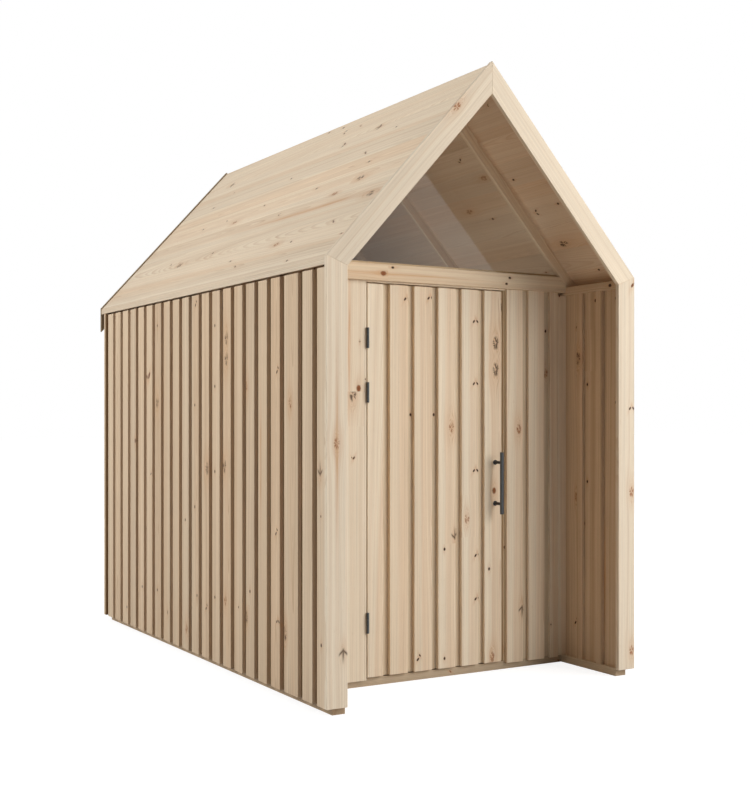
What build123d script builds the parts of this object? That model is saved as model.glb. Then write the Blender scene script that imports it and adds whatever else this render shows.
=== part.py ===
"""Wooden garden shed with a porch: board-on-board walls, a steep duo-pitch roof and one door.

X runs to the right, Y from the front to the back and Z up. The origin is at the middle of the
footprint, on the ground. Places along Y are first given as a depth behind the front face of the
portal and turned into Y by the function at().
"""

import os
from math import cos, radians, tan

from build123d import *

# Overall form
OVERALL_WIDTH = 1674.0
OVERALL_LENGTH = 2960.0
RIDGE_HEIGHT = 2828.0
ROOF_PITCH = 47.7

# Timber sections
TRIM_WIDTH = 98.0
TRIM_THICKNESS = 22.0
BOARD_WIDTH = 98.0
BOARD_THICKNESS = 18.0
BOARD_GAP = 36.0
SIDE_BOARD_WIDTH = 91.0
SIDE_BOARD_GAP = 43.0
WIDE_BOARD = 134.0
FIRST_BOARD = 66.0
FRAME_THICKNESS = 38.0
FRAME_DEPTH = 62.0
RAFTER_THICKNESS = 22.0
RAFTER_DEPTH = 48.0
DECK_THICKNESS = 22.0

# Heights
BOARD_BOTTOM = 31.0
BEAM_DROP = 25.0
BEAM_HEIGHT = 76.0
EAVE_SHADOW_GAP = 6.0
RAFTER_HEEL = 15.0
ROOF_LIP = 6.0

# Depths
PORCH_DEPTH = 433.0
BEAM_PROUD = 20.0
REAR_OVERHANG = 50.0
RAFTER_SPACING = 830.0

# Porch sides
LINING_RECESS = 18.0
BATTEN_WIDTH = 40.0
CORNER_STRIP = 50.0
CORNER_JOINT = 2.0

# Door
DOOR_LEFT = -403.0
DOOR_BOARDS = 6
FIRST_DOOR_BOARD = 84.0
DOOR_EDGE_LAP = 18.0
HINGE_GAP = 6.0
LATCH_GAP = 7.0
CLEARANCE = 5.0
CASING_WIDTH = 12.0
HEAD_LINING = 7.0
STOP_WIDTH = 15.0
STOP_DEPTH = 22.0
LEDGE_THICKNESS = 22.0
LEDGE_WIDTH = 98.0
LEDGE_SETBACK = 25.0
LEDGE_END = 200.0

# Hinges
HINGE_LENGTH = 94.0
HINGE_END = 251.0
HINGE_SPACING = 250.0
BARREL_RADIUS = 6.0
PIN_RADIUS = 3.0
PIN_CLEARANCE = 0.1
LEAF_WIDTH = 15.0
LEAF_THICKNESS = 2.5
LEAF_CLEARANCE = 0.5
FRAME_LEAF_THICKNESS = 2.0
FRAME_LEAF_DEPTH = 30.0

# Handle
HANDLE_LENGTH = 300.0
HANDLE_RADIUS = 9.5
HANDLE_HEIGHT = 918.0
HANDLE_INSET = 35.0
HANDLE_REACH = 56.0
STANDOFF_SPACING = 200.0
STANDOFF_RADIUS = 7.0
ROSE_RADIUS = 12.0
ROSE_THICKNESS = 4.0
HANDLE_EDGE_ROUND = 1.5

# Gable glass
GLASS_THICKNESS = 6.0
GLASS_EDGE_GAP = 3.0
BEAD_SIZE = 12.0
BEAD_JOINT = 0.5

# Derived places across the shed
HALF_WIDTH = OVERALL_WIDTH / 2
FRAME_OUTSIDE = HALF_WIDTH - 2 * BOARD_THICKNESS
FRAME_INSIDE = FRAME_OUTSIDE - FRAME_DEPTH
LINING_FACE = FRAME_INSIDE + LINING_RECESS

# Derived depths
PITCH = BOARD_WIDTH + BOARD_GAP
LAP = (BOARD_WIDTH - BOARD_GAP) / 2
FRONT_WALL_FACE = PORCH_DEPTH - BOARD_THICKNESS
BEAM_FRONT = FRONT_WALL_FACE - BEAM_PROUD
REAR_TRIM_FRONT = OVERALL_LENGTH - TRIM_THICKNESS
REAR_WALL_FACE = REAR_TRIM_FRONT - REAR_OVERHANG
REAR_FRAME_FACE = REAR_WALL_FACE - 2 * BOARD_THICKNESS
REAR_FRAME_INSIDE = REAR_FRAME_FACE - FRAME_DEPTH
GLASS_FRONT = BEAM_FRONT + RAFTER_THICKNESS

# Derived heights, and the roof's layers measured square to the slope from its outer edge
SLOPE = tan(radians(ROOF_PITCH))
PLUMB = 1 / cos(radians(ROOF_PITCH))
DECK_TOP = ROOF_LIP
DECK_UNDERSIDE = DECK_TOP + DECK_THICKNESS
RAFTER_UNDERSIDE = DECK_UNDERSIDE + RAFTER_DEPTH
SILL_TOP = FRAME_THICKNESS

# Derived door places
DOOR_COVER_RIGHT = DOOR_LEFT + FIRST_DOOR_BOARD + (DOOR_BOARDS - 1) * PITCH
DOOR_RIGHT = DOOR_COVER_RIGHT + DOOR_EDGE_LAP
DOOR_BOTTOM = SILL_TOP + CLEARANCE
DOOR_BACK = PORCH_DEPTH + BOARD_THICKNESS
LEFT_JAMB = DOOR_LEFT - HINGE_GAP
RIGHT_JAMB = DOOR_RIGHT + LATCH_GAP
HINGE_X = (DOOR_LEFT + LEFT_JAMB) / 2
HINGE_DEPTH = FRONT_WALL_FACE - BARREL_RADIUS
HANDLE_X = DOOR_COVER_RIGHT - HANDLE_INSET


def at(depth):
    """Y of a place that lies this deep behind the front face of the portal."""
    return depth - OVERALL_LENGTH / 2


def roof_height(layer, x=0.0):
    """Height of a roof layer at x; the layer is its distance square to the roof's outer edge."""
    return RIDGE_HEIGHT - layer * PLUMB - abs(x) * SLOPE


# Heights that follow the roof
PLATE_TOP = roof_height(DECK_UNDERSIDE, FRAME_OUTSIDE) - RAFTER_HEEL
PLATE_BOTTOM = PLATE_TOP - FRAME_THICKNESS
SIDE_BOARD_TOP = roof_height(DECK_UNDERSIDE, HALF_WIDTH) - EAVE_SHADOW_GAP
BEAM_BOTTOM = PLATE_TOP - BEAM_DROP
BEAM_TOP = BEAM_BOTTOM + BEAM_HEIGHT
DOOR_TOP = BEAM_BOTTOM - HEAD_LINING - HINGE_GAP
NOGGIN_MIDDLE = (SILL_TOP + PLATE_BOTTOM) / 2
NOGGIN_SPAN = (NOGGIN_MIDDLE - FRAME_THICKNESS / 2, NOGGIN_MIDDLE + FRAME_THICKNESS / 2)
HIGHEST_HINGE = DOOR_TOP - HINGE_END
HINGE_MIDDLES = (DOOR_BOTTOM + HINGE_END, HIGHEST_HINGE - HINGE_SPACING, HIGHEST_HINGE)


def block(x, depth, z):
    """Box between two limits in X, in depth and in Z."""
    size = (x[1] - x[0], depth[1] - depth[0], z[1] - z[0])
    corner = (x[0], at(depth[0]), z[0])
    return Pos(*corner) * Box(*size, align=(Align.MIN, Align.MIN, Align.MIN))


def prism(outline, depth):
    """Solid with an outline of (x, z) points and two limits in depth."""
    upright = Plane(origin=(0, at(depth[0]), 0), x_dir=(1, 0, 0), z_dir=(0, -1, 0))
    return extrude(upright * Polygon(*outline, align=None), amount=depth[1] - depth[0], dir=(0, 1, 0))


def mirrored(solid):
    """The same piece on the other side of the shed."""
    return mirror(solid, about=Plane.YZ)


def group(solids):
    """Like pieces that share a node and don't touch."""
    return Compound(children=list(solids))


def spread(first, last, count):
    """Evenly spaced places from the first to the last."""
    step = (last - first) / (count - 1)
    return [first + step * index for index in range(count)]


def cover_run(start, end, width=BOARD_WIDTH, gap=BOARD_GAP):
    """Cover boards from a start, repeated to an end, with the last one ripped to fit."""
    boards = []
    left = start
    while left < end - 1:
        boards.append((left, min(left + width, end)))
        left += width + gap
    return boards


def cladding_section(covers, run):
    """Board-on-board section: x along the wall and y behind its outer face.

    Backing boards close the gaps between the cover boards and lap behind both neighbours, so the
    two rows make one folded section. A run that reaches past the end boards is closed too.
    """
    section = Sketch()
    for left, right in covers:
        section += Pos((left + right) / 2, BOARD_THICKNESS / 2) * Rectangle(right - left, BOARD_THICKNESS)
    edges = [run[0] - LAP]
    for left, right in covers:
        edges += [left, right]
    edges.append(run[1] + LAP)
    for before, after in zip(edges[0::2], edges[1::2]):
        left = max(before - LAP, run[0])
        right = min(after + LAP, run[1])
        if right - left > LAP:
            middle = ((left + right) / 2, 1.5 * BOARD_THICKNESS)
            section += Pos(*middle) * Rectangle(right - left, BOARD_THICKNESS)
    return section


def cladding(covers, run, plane, bottom, top):
    """Vertical cladding on the given plane, from one height to another."""
    raised = plane.offset(bottom)
    return extrude(raised * cladding_section(covers, run), amount=top - bottom)


def tie_outline(bottom, top):
    """Beam between the side walls, with its top corners cut along the rafters."""
    shoulder = min(top, roof_height(RAFTER_UNDERSIDE, FRAME_INSIDE))
    reach = (RIDGE_HEIGHT - RAFTER_UNDERSIDE * PLUMB - top) / SLOPE
    reach = min(reach, FRAME_INSIDE)
    outline = [(-FRAME_INSIDE, bottom), (FRAME_INSIDE, bottom), (FRAME_INSIDE, shoulder)]
    if reach < FRAME_INSIDE:
        outline += [(reach, top), (-reach, top)]
    outline.append((-FRAME_INSIDE, shoulder))
    return outline


def sills():
    """Base timbers: two along the sides, with the front and rear ones between them."""
    side_depth = (TRIM_THICKNESS, REAR_FRAME_FACE)
    right = block((FRAME_INSIDE, FRAME_OUTSIDE), side_depth, (0, SILL_TOP))
    across = (-FRAME_INSIDE, FRAME_INSIDE)
    return {
        "left_sill": mirrored(right),
        "right_sill": right,
        "front_sill": block(across, (PORCH_DEPTH, PORCH_DEPTH + FRAME_DEPTH), (0, SILL_TOP)),
        "rear_sill": block(across, (REAR_FRAME_INSIDE, REAR_FRAME_FACE), (0, SILL_TOP)),
    }


def side_frame():
    """Studs, noggins and top plate of the right wall, mirrored to the left."""
    upright = (SILL_TOP, PLATE_BOTTOM)
    across = (FRAME_INSIDE, FRAME_OUTSIDE)
    starts = spread(PORCH_DEPTH, REAR_FRAME_FACE - FRAME_THICKNESS, 5)
    studs = [block(across, (start, start + FRAME_THICKNESS), upright) for start in starts]

    # Behind the porch lining the studs are only as deep as the space left there
    behind_lining = (LINING_FACE + BOARD_THICKNESS, FRAME_OUTSIDE)
    porch_starts = spread(TRIM_THICKNESS, PORCH_DEPTH - 2 * FRAME_THICKNESS, 3)
    for start in porch_starts:
        studs.append(block(behind_lining, (start, start + FRAME_THICKNESS), upright))

    noggins = []
    for start, following in zip(starts, starts[1:]):
        noggins.append(block(across, (start + FRAME_THICKNESS, following), NOGGIN_SPAN))

    plate = block(across, (TRIM_THICKNESS, REAR_FRAME_FACE), (PLATE_BOTTOM, PLATE_TOP))
    return {
        "left_wall_studs": group(mirrored(stud) for stud in studs),
        "right_wall_studs": group(studs),
        "left_wall_noggins": group(mirrored(noggin) for noggin in noggins),
        "right_wall_noggins": group(noggins),
        "left_top_plate": mirrored(plate),
        "right_top_plate": plate,
    }


def rear_frame():
    """Studs, noggins, tie and king stud of the rear wall."""
    depth = (REAR_FRAME_INSIDE, REAR_FRAME_FACE)
    king_depth = (REAR_FRAME_FACE - FRAME_THICKNESS, REAR_FRAME_FACE)
    starts = spread(-FRAME_INSIDE, FRAME_INSIDE - FRAME_THICKNESS, 4)
    upright = (SILL_TOP, PLATE_BOTTOM)
    studs = [block((start, start + FRAME_THICKNESS), depth, upright) for start in starts]
    noggins = []
    for start, following in zip(starts, starts[1:]):
        noggins.append(block((start + FRAME_THICKNESS, following), depth, NOGGIN_SPAN))

    half = FRAME_THICKNESS / 2
    side_top = roof_height(RAFTER_UNDERSIDE, half)
    king = [(-half, PLATE_TOP), (half, PLATE_TOP), (half, side_top)]
    king += [(0, roof_height(RAFTER_UNDERSIDE)), (-half, side_top)]
    return {
        "rear_wall_studs": group(studs),
        "rear_wall_noggins": group(noggins),
        "rear_tie": prism(tie_outline(PLATE_BOTTOM, PLATE_TOP), depth),
        "rear_king_stud": prism(king, king_depth),
    }


def side_cladding():
    """Board-on-board cladding of the side walls, with one wide board beside the front wall."""
    covers = [(TRIM_THICKNESS, TRIM_THICKNESS + FIRST_BOARD)]
    for width in (SIDE_BOARD_WIDTH, WIDE_BOARD):
        left = covers[-1][1] + SIDE_BOARD_GAP
        covers.append((left, left + width))
    start = covers[-1][1] + SIDE_BOARD_GAP
    covers += cover_run(start, REAR_FRAME_FACE, SIDE_BOARD_WIDTH, SIDE_BOARD_GAP)
    placed = Plane(origin=(HALF_WIDTH, at(0), 0), x_dir=(0, 1, 0), z_dir=(0, 0, 1))
    run = (TRIM_THICKNESS, REAR_FRAME_FACE)
    right = cladding(covers, run, placed, BOARD_BOTTOM, SIDE_BOARD_TOP)
    return {"left_cladding": mirrored(right), "right_cladding": right}


def rear_cladding():
    """Rear gable cladding, evenly divided, cut along the underside of the roof deck."""
    bays = round((OVERALL_WIDTH - BOARD_WIDTH) / PITCH)
    gap = (OVERALL_WIDTH - BOARD_WIDTH) / bays - BOARD_WIDTH
    covers = cover_run(-HALF_WIDTH, HALF_WIDTH, gap=gap)
    placed = Plane(origin=(0, at(REAR_WALL_FACE), 0), x_dir=(-1, 0, 0), z_dir=(0, 0, 1))
    run = (-HALF_WIDTH, HALF_WIDTH)
    full = cladding(covers, run, placed, BOARD_BOTTOM, RIDGE_HEIGHT)
    corner = roof_height(DECK_UNDERSIDE, HALF_WIDTH)
    gable = [(-HALF_WIDTH, 0), (HALF_WIDTH, 0), (HALF_WIDTH, corner)]
    gable += [(0, roof_height(DECK_UNDERSIDE)), (-HALF_WIDTH, corner)]
    return {"rear_cladding": full & prism(gable, (REAR_FRAME_FACE - 1, REAR_WALL_FACE + 1))}


def front_wall():
    """Fixed parts of the recessed wall: cladding beside the door, posts, casing and beam."""
    placed = Plane(origin=(0, at(FRONT_WALL_FACE), 0), x_dir=(1, 0, 0), z_dir=(0, 0, 1))
    post_outside_left = LEFT_JAMB - FRAME_THICKNESS
    post_outside_right = RIGHT_JAMB + FRAME_THICKNESS
    casing_left = LEFT_JAMB - CASING_WIDTH

    # Covers are counted away from the door, and the backing stays between the post and the side wall
    left_boards = [(-right, -left) for left, right in cover_run(-casing_left, LINING_FACE)]
    first_right = DOOR_COVER_RIGHT + BOARD_GAP
    strip_left = LINING_FACE - CORNER_STRIP
    right_boards = cover_run(first_right, strip_left - CORNER_JOINT)
    right_boards.append((strip_left, LINING_FACE))

    def fixed_boards(covers, backing):
        boards = []
        for left, right in covers:
            boards.append(block((left, right), (FRONT_WALL_FACE, PORCH_DEPTH), (BOARD_BOTTOM, BEAM_BOTTOM)))
        boards.append(block(backing, (PORCH_DEPTH, DOOR_BACK), (SILL_TOP, BEAM_BOTTOM)))
        solid = Part() + boards
        for side in (-HALF_WIDTH, FRAME_INSIDE):
            across = (side, side + HALF_WIDTH - FRAME_INSIDE)
            solid -= block(across, (0, PORCH_DEPTH), (0, SILL_TOP))
            solid -= block(across, (0, PORCH_DEPTH), (PLATE_BOTTOM, RIDGE_HEIGHT))
        return solid

    post_depth = (PORCH_DEPTH, PORCH_DEPTH + FRAME_DEPTH)
    post_height = (SILL_TOP, BEAM_BOTTOM)
    posts = [
        block((post_outside_left, LEFT_JAMB), post_depth, post_height),
        block((RIGHT_JAMB, post_outside_right), post_depth, post_height),
    ]
    stop_depth = (DOOR_BACK + CLEARANCE, DOOR_BACK + CLEARANCE + STOP_DEPTH)
    stop_top = BEAM_BOTTOM - HEAD_LINING
    head_stop_x = (LEFT_JAMB + STOP_WIDTH + CORNER_JOINT, RIGHT_JAMB - STOP_WIDTH - CORNER_JOINT)
    stops = [
        block((LEFT_JAMB, LEFT_JAMB + STOP_WIDTH), stop_depth, (SILL_TOP, stop_top)),
        block((RIGHT_JAMB - STOP_WIDTH, RIGHT_JAMB), stop_depth, (SILL_TOP, stop_top)),
        block(head_stop_x, stop_depth, (stop_top - STOP_WIDTH, stop_top)),
    ]
    casing = block((casing_left, LEFT_JAMB), (FRONT_WALL_FACE, PORCH_DEPTH), (BOARD_BOTTOM, BEAM_BOTTOM))
    lining_depth = (FRONT_WALL_FACE, PORCH_DEPTH + FRAME_DEPTH)
    return {
        "front_cladding_left": fixed_boards(left_boards, (-FRAME_INSIDE, post_outside_left)),
        "front_cladding_right": fixed_boards(right_boards, (post_outside_right, FRAME_INSIDE)),
        "door_posts": group(posts),
        "door_stops": group(stops),
        "door_casing": casing,
        "door_head_lining": block((LEFT_JAMB, RIGHT_JAMB), lining_depth, (stop_top, BEAM_BOTTOM)),
        "header_beam": prism(tie_outline(BEAM_BOTTOM, BEAM_TOP), (BEAM_FRONT, BEAM_FRONT + FRAME_DEPTH)),
    }


def porch_lining():
    """Recessed boards on the inside of each porch wall, with two battens flush with the sill."""
    upright = (SILL_TOP, PLATE_BOTTOM)
    boards = block((LINING_FACE, LINING_FACE + BOARD_THICKNESS), (TRIM_THICKNESS, PORCH_DEPTH), upright)
    bay = (FRONT_WALL_FACE - TRIM_THICKNESS - 2 * BATTEN_WIDTH) / 3
    solid = boards
    for index in (1, 2):
        end = TRIM_THICKNESS + index * (bay + BATTEN_WIDTH)
        solid += block((FRAME_INSIDE, LINING_FACE), (end - BATTEN_WIDTH, end), upright)
    return {"left_porch_lining": mirrored(solid), "right_porch_lining": solid}


def gable_window():
    """Triangular pane over the header beam, behind the first rafters, with beads behind it."""
    def triangle(layer, base):
        reach = (RIDGE_HEIGHT - layer * PLUMB - base) / SLOPE
        return [(-reach, base), (reach, base), (0, roof_height(layer))]

    glass_back = GLASS_FRONT + GLASS_THICKNESS
    outer = DECK_UNDERSIDE + GLASS_EDGE_GAP
    pane = prism(triangle(outer, BEAM_TOP), (GLASS_FRONT, glass_back))

    bead_depth = (glass_back, glass_back + BEAD_SIZE)
    bead_top = BEAM_TOP + BEAD_SIZE
    ring = prism(triangle(outer, BEAM_TOP), bead_depth)
    ring -= prism(triangle(outer + BEAD_SIZE, bead_top), bead_depth)
    bottom = ring & block((-HALF_WIDTH, HALF_WIDTH), bead_depth, (BEAM_TOP, bead_top))
    sloping = ring & block((BEAD_JOINT / 2, HALF_WIDTH), bead_depth, (bead_top + BEAD_JOINT, RIDGE_HEIGHT))
    return {"gable_glass": pane, "gable_glass_beads": group([bottom, mirrored(sloping), sloping])}


def rafters():
    """Four rafters on each slope, seated on the top plate and cut plumb at both ends."""
    outline = [
        (0, roof_height(DECK_UNDERSIDE)),
        (FRAME_OUTSIDE, roof_height(DECK_UNDERSIDE, FRAME_OUTSIDE)),
        (FRAME_OUTSIDE, PLATE_TOP),
        (FRAME_INSIDE, PLATE_TOP),
        (FRAME_INSIDE, roof_height(RAFTER_UNDERSIDE, FRAME_INSIDE)),
        (0, roof_height(RAFTER_UNDERSIDE)),
    ]
    starts = [BEAM_FRONT + RAFTER_SPACING * index for index in range(3)]
    starts.append(REAR_FRAME_FACE - RAFTER_THICKNESS)
    right = [prism(outline, (start, start + RAFTER_THICKNESS)) for start in starts]
    return {"left_rafters": group(mirrored(rafter) for rafter in right), "right_rafters": group(right)}


def roof():
    """Roof deck on both slopes, between the portal and the rear barge boards."""
    outline = [
        (0, roof_height(DECK_TOP)),
        (HALF_WIDTH, roof_height(DECK_TOP, HALF_WIDTH)),
        (HALF_WIDTH, roof_height(DECK_UNDERSIDE, HALF_WIDTH)),
        (0, roof_height(DECK_UNDERSIDE)),
    ]
    right = prism(outline, (TRIM_THICKNESS, REAR_TRIM_FRONT))
    return {"left_roof_deck": mirrored(right), "right_roof_deck": right}


def portal():
    """Front portal: posts and sloping boards in one plane, mitred at the eaves and the ridge."""
    inside = HALF_WIDTH - TRIM_WIDTH
    outer_corner = (HALF_WIDTH, roof_height(0, HALF_WIDTH))
    inner_corner = (inside, roof_height(TRIM_WIDTH, inside))
    post = [(HALF_WIDTH, BOARD_BOTTOM), outer_corner, inner_corner, (inside, BOARD_BOTTOM)]
    sloping = [(0, roof_height(0)), outer_corner, inner_corner, (0, roof_height(TRIM_WIDTH))]
    depth = (0, TRIM_THICKNESS)
    return {
        "left_portal_post": mirrored(prism(post, depth)),
        "right_portal_post": prism(post, depth),
        "left_portal_slope": mirrored(prism(sloping, depth)),
        "right_portal_slope": prism(sloping, depth),
    }


def rear_barge():
    """Barge boards over the rear gable, cut plumb at the eaves."""
    outline = [
        (0, roof_height(0)),
        (HALF_WIDTH, roof_height(0, HALF_WIDTH)),
        (HALF_WIDTH, roof_height(TRIM_WIDTH, HALF_WIDTH)),
        (0, roof_height(TRIM_WIDTH)),
    ]
    right = prism(outline, (REAR_TRIM_FRONT, OVERALL_LENGTH))
    return {"left_rear_barge_board": mirrored(right), "right_rear_barge_board": right}


def door_leaf():
    """Ledged and braced door: cover boards on backing boards, with the first cover ripped."""
    first_right = DOOR_LEFT + FIRST_DOOR_BOARD
    covers = [(DOOR_LEFT, first_right)] + cover_run(first_right + BOARD_GAP, DOOR_COVER_RIGHT)
    placed = Plane(origin=(0, at(FRONT_WALL_FACE), 0), x_dir=(1, 0, 0), z_dir=(0, 0, 1))
    boards = cladding(covers, (DOOR_LEFT, DOOR_RIGHT), placed, DOOR_BOTTOM, DOOR_TOP)

    left = DOOR_LEFT + LEDGE_SETBACK
    right = DOOR_RIGHT - LEDGE_SETBACK
    depth = (DOOR_BACK, DOOR_BACK + LEDGE_THICKNESS)
    bottoms = spread(DOOR_BOTTOM + LEDGE_END, DOOR_TOP - LEDGE_END - LEDGE_WIDTH, 3)
    ledges = [block((left, right), depth, (bottom, bottom + LEDGE_WIDTH)) for bottom in bottoms]
    braces = []
    for bottom, following in zip(bottoms, bottoms[1:]):
        low = bottom + LEDGE_WIDTH
        foot = [(left, low), (left + LEDGE_WIDTH, low)]
        head = [(right, following), (right - LEDGE_WIDTH, following)]
        braces.append(prism(foot + head, depth))
    return {"door_boards": boards, "door_ledges": group(ledges), "door_braces": group(braces)}


def hinge_cylinder(radius, low, high):
    """Upright cylinder on the door's hinge line."""
    along = Cylinder(radius, high - low, align=(Align.CENTER, Align.CENTER, Align.MIN))
    return Pos(HINGE_X, at(HINGE_DEPTH), low) * along


def hinges():
    """Three butt hinges: a leaf on the jamb with two barrels and the pin, and a leaf on the door."""
    fixed = []
    moving = []
    third = HINGE_LENGTH / 3
    for middle in HINGE_MIDDLES:
        low = middle - HINGE_LENGTH / 2
        high = middle + HINGE_LENGTH / 2
        jamb_x = (LEFT_JAMB, LEFT_JAMB + FRAME_LEAF_THICKNESS)
        jamb_leaf = block(jamb_x, (HINGE_DEPTH, HINGE_DEPTH + FRAME_LEAF_DEPTH), (low, high))
        jamb_leaf -= hinge_cylinder(BARREL_RADIUS + LEAF_CLEARANCE, low + third, high - third)
        barrels = hinge_cylinder(BARREL_RADIUS, low, low + third - LEAF_CLEARANCE)
        barrels += hinge_cylinder(BARREL_RADIUS, high - third + LEAF_CLEARANCE, high)
        fixed.append(jamb_leaf + barrels + hinge_cylinder(PIN_RADIUS, low, high))

        leaf_depth = (FRONT_WALL_FACE - LEAF_THICKNESS, FRONT_WALL_FACE)
        leaf_left = HINGE_X + BARREL_RADIUS + LEAF_CLEARANCE
        leaf = block((leaf_left, leaf_left + LEAF_WIDTH), leaf_depth, (low, high))
        leaf += block((HINGE_X, leaf_left), leaf_depth, (low + third, high - third))
        leaf += hinge_cylinder(BARREL_RADIUS, low + third, high - third)
        leaf -= hinge_cylinder(PIN_RADIUS + PIN_CLEARANCE, low, high)
        moving.append(leaf)
    return {"jamb_hinge_leaves": group(fixed), "door_hinge_leaves": group(moving)}


def handle():
    """Round bar handle on two standoffs, each with a small rose against the door."""
    bar_depth = FRONT_WALL_FACE - HANDLE_REACH
    bar = Cylinder(HANDLE_RADIUS, HANDLE_LENGTH)
    bar = chamfer(bar.edges(), HANDLE_EDGE_ROUND)
    bar = Pos(HANDLE_X, at(bar_depth), HANDLE_HEIGHT) * bar

    toward_door = Rot(-90, 0, 0)
    low_end = (Align.CENTER, Align.CENTER, Align.MIN)
    standoffs = []
    for offset in (-STANDOFF_SPACING / 2, STANDOFF_SPACING / 2):
        place = Pos(HANDLE_X, at(bar_depth), HANDLE_HEIGHT + offset)
        stem = place * toward_door * Cylinder(STANDOFF_RADIUS, HANDLE_REACH, align=low_end)
        seat = Pos(HANDLE_X, at(FRONT_WALL_FACE - ROSE_THICKNESS), HANDLE_HEIGHT + offset)
        rose = seat * toward_door * Cylinder(ROSE_RADIUS, ROSE_THICKNESS, align=low_end)
        standoffs.append(stem + rose - bar)
    return {"handle_bar": bar, "handle_standoffs": group(standoffs)}


def build():
    """Every piece of the shed by its name."""
    pieces = {}
    for section in (
        sills,
        side_frame,
        rear_frame,
        side_cladding,
        rear_cladding,
        front_wall,
        porch_lining,
        gable_window,
        rafters,
        roof,
        portal,
        rear_barge,
        door_leaf,
        hinges,
        handle,
    ):
        pieces.update(section())
    return pieces


os.makedirs("parts", exist_ok=True)
for name, piece in build().items():
    export_step(piece, f"parts/{name}.step")
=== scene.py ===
"""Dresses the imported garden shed: separate planed boards with grain and knots, glass and black metal."""

import math
import random

import bmesh
import bpy
from mathutils import Matrix, Vector


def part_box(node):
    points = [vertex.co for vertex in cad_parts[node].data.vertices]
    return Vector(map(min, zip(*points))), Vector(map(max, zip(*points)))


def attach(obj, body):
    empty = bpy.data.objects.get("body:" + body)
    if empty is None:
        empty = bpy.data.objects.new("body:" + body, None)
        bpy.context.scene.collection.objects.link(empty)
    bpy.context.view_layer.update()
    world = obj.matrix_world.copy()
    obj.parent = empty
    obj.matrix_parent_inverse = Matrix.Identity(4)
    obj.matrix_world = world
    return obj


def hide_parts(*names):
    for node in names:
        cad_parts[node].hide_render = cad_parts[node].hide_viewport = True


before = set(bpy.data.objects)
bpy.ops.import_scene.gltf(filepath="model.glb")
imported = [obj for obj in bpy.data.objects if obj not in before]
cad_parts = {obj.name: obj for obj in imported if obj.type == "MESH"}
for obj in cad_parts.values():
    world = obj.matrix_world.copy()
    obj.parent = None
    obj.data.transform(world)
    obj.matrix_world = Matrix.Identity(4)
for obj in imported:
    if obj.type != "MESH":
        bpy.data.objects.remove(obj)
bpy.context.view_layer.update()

# Timber sizes, in metres, as in the solids
BOARD_WIDTH = 0.098
BOARD_THICKNESS = 0.018
BOARD_GAP = 0.036
SIDE_BOARD_WIDTH = 0.091
SIDE_BOARD_GAP = 0.043
WIDE_BOARD = 0.134
FIRST_BOARD = 0.066
FIRST_DOOR_BOARD = 0.084
DOOR_EDGE_LAP = 0.018
TRIM_WIDTH = 0.098
TRIM_THICKNESS = 0.022
DECK_THICKNESS = 0.022
FRAME_THICKNESS = 0.038
RAFTER_THICKNESS = 0.022
RAFTER_DEPTH = 0.048
RAFTER_SPACING = 0.830
ROOF_LIP = 0.006
ROOF_BOARD = 0.133
BATTEN_WIDTH = 0.040
CORNER_STRIP = 0.050
STOP_WIDTH = 0.015
CORNER_JOINT = 0.002
LINING_RECESS = 0.018
BACKING_LAP = (BOARD_WIDTH - BOARD_GAP) / 2

# Finish of the timber
ARRIS = 0.0012
SEAM_ARRIS = 0.0007
BOARD_PLAY = 0.0004

# Where the middle of the log lies from a board's middle, across it and behind its face
SAP_AT_LEFT = (0.050, 0.030)
DENSE_GRAIN = (0.150, 0.030)
STRAIGHT_GRAIN = (0.110, 0.050)

# Random knots in a metre: of trim, of boards whose knots are listed, of backing, roof boards, slim
# pieces and rafters, and of side walls with and without a list
TRIM_KNOTS = 0.15
LISTED_KNOTS = 0.1
BACKING_KNOTS = 0.2
DECK_KNOTS = 0.35
SLIM_KNOTS = 0.4
RAFTER_KNOTS = 0.3
SIDE_KNOTS_LISTED = 0.15
SIDE_KNOTS = 0.8

# Room left along a board between a chosen knot and a random one, and how far beside and in front of
# a board a chosen knot may lie and still be taken by it
KNOT_ROOM = 0.12
MARK_REACH = 0.006
MARK_DEPTH = 0.020

X = Vector((1, 0, 0))
Y = Vector((0, 1, 0))
Z = Vector((0, 0, 1))

# View: the lens in millimetres, the eye's place from the middle, the front and the ground, its turn
LENS = 55.746
LENS_SHIFT = 0.021
EYE_LEFT = -3.2488
EYE_BEFORE = 4.5014
EYE_HEIGHT = 1.240
EYE_TURN = -30.4752

# Light: watts of the lamps, and the strength of the white surroundings for bounced light
KEY_WATTS = 785
LEFT_WATTS = 300
TOP_WATTS = 160
ROOM_WATTS = 3.0
REAR_WATTS = 200
AMBIENT = 0.05

# Where the lamps aim, and the lamp in the room: its size, height and distance behind the front sill
AIM_HEIGHT = 1.2
ROOM_LAMP_SIZE = 0.6
ROOM_LAMP_HEIGHT = 1.25
ROOM_LAMP_BEHIND = 0.45

# How brightly the ground glows near the shed, and the distances between which that grows to white
GROUND_GLOW = 0.86
GLOW_NEAR = 1.5
GLOW_FAR = 5.0
GROUND_SIZE = 120
GROUND_DROP = 0.0005

rng = random.Random(31)


# Materials


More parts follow.
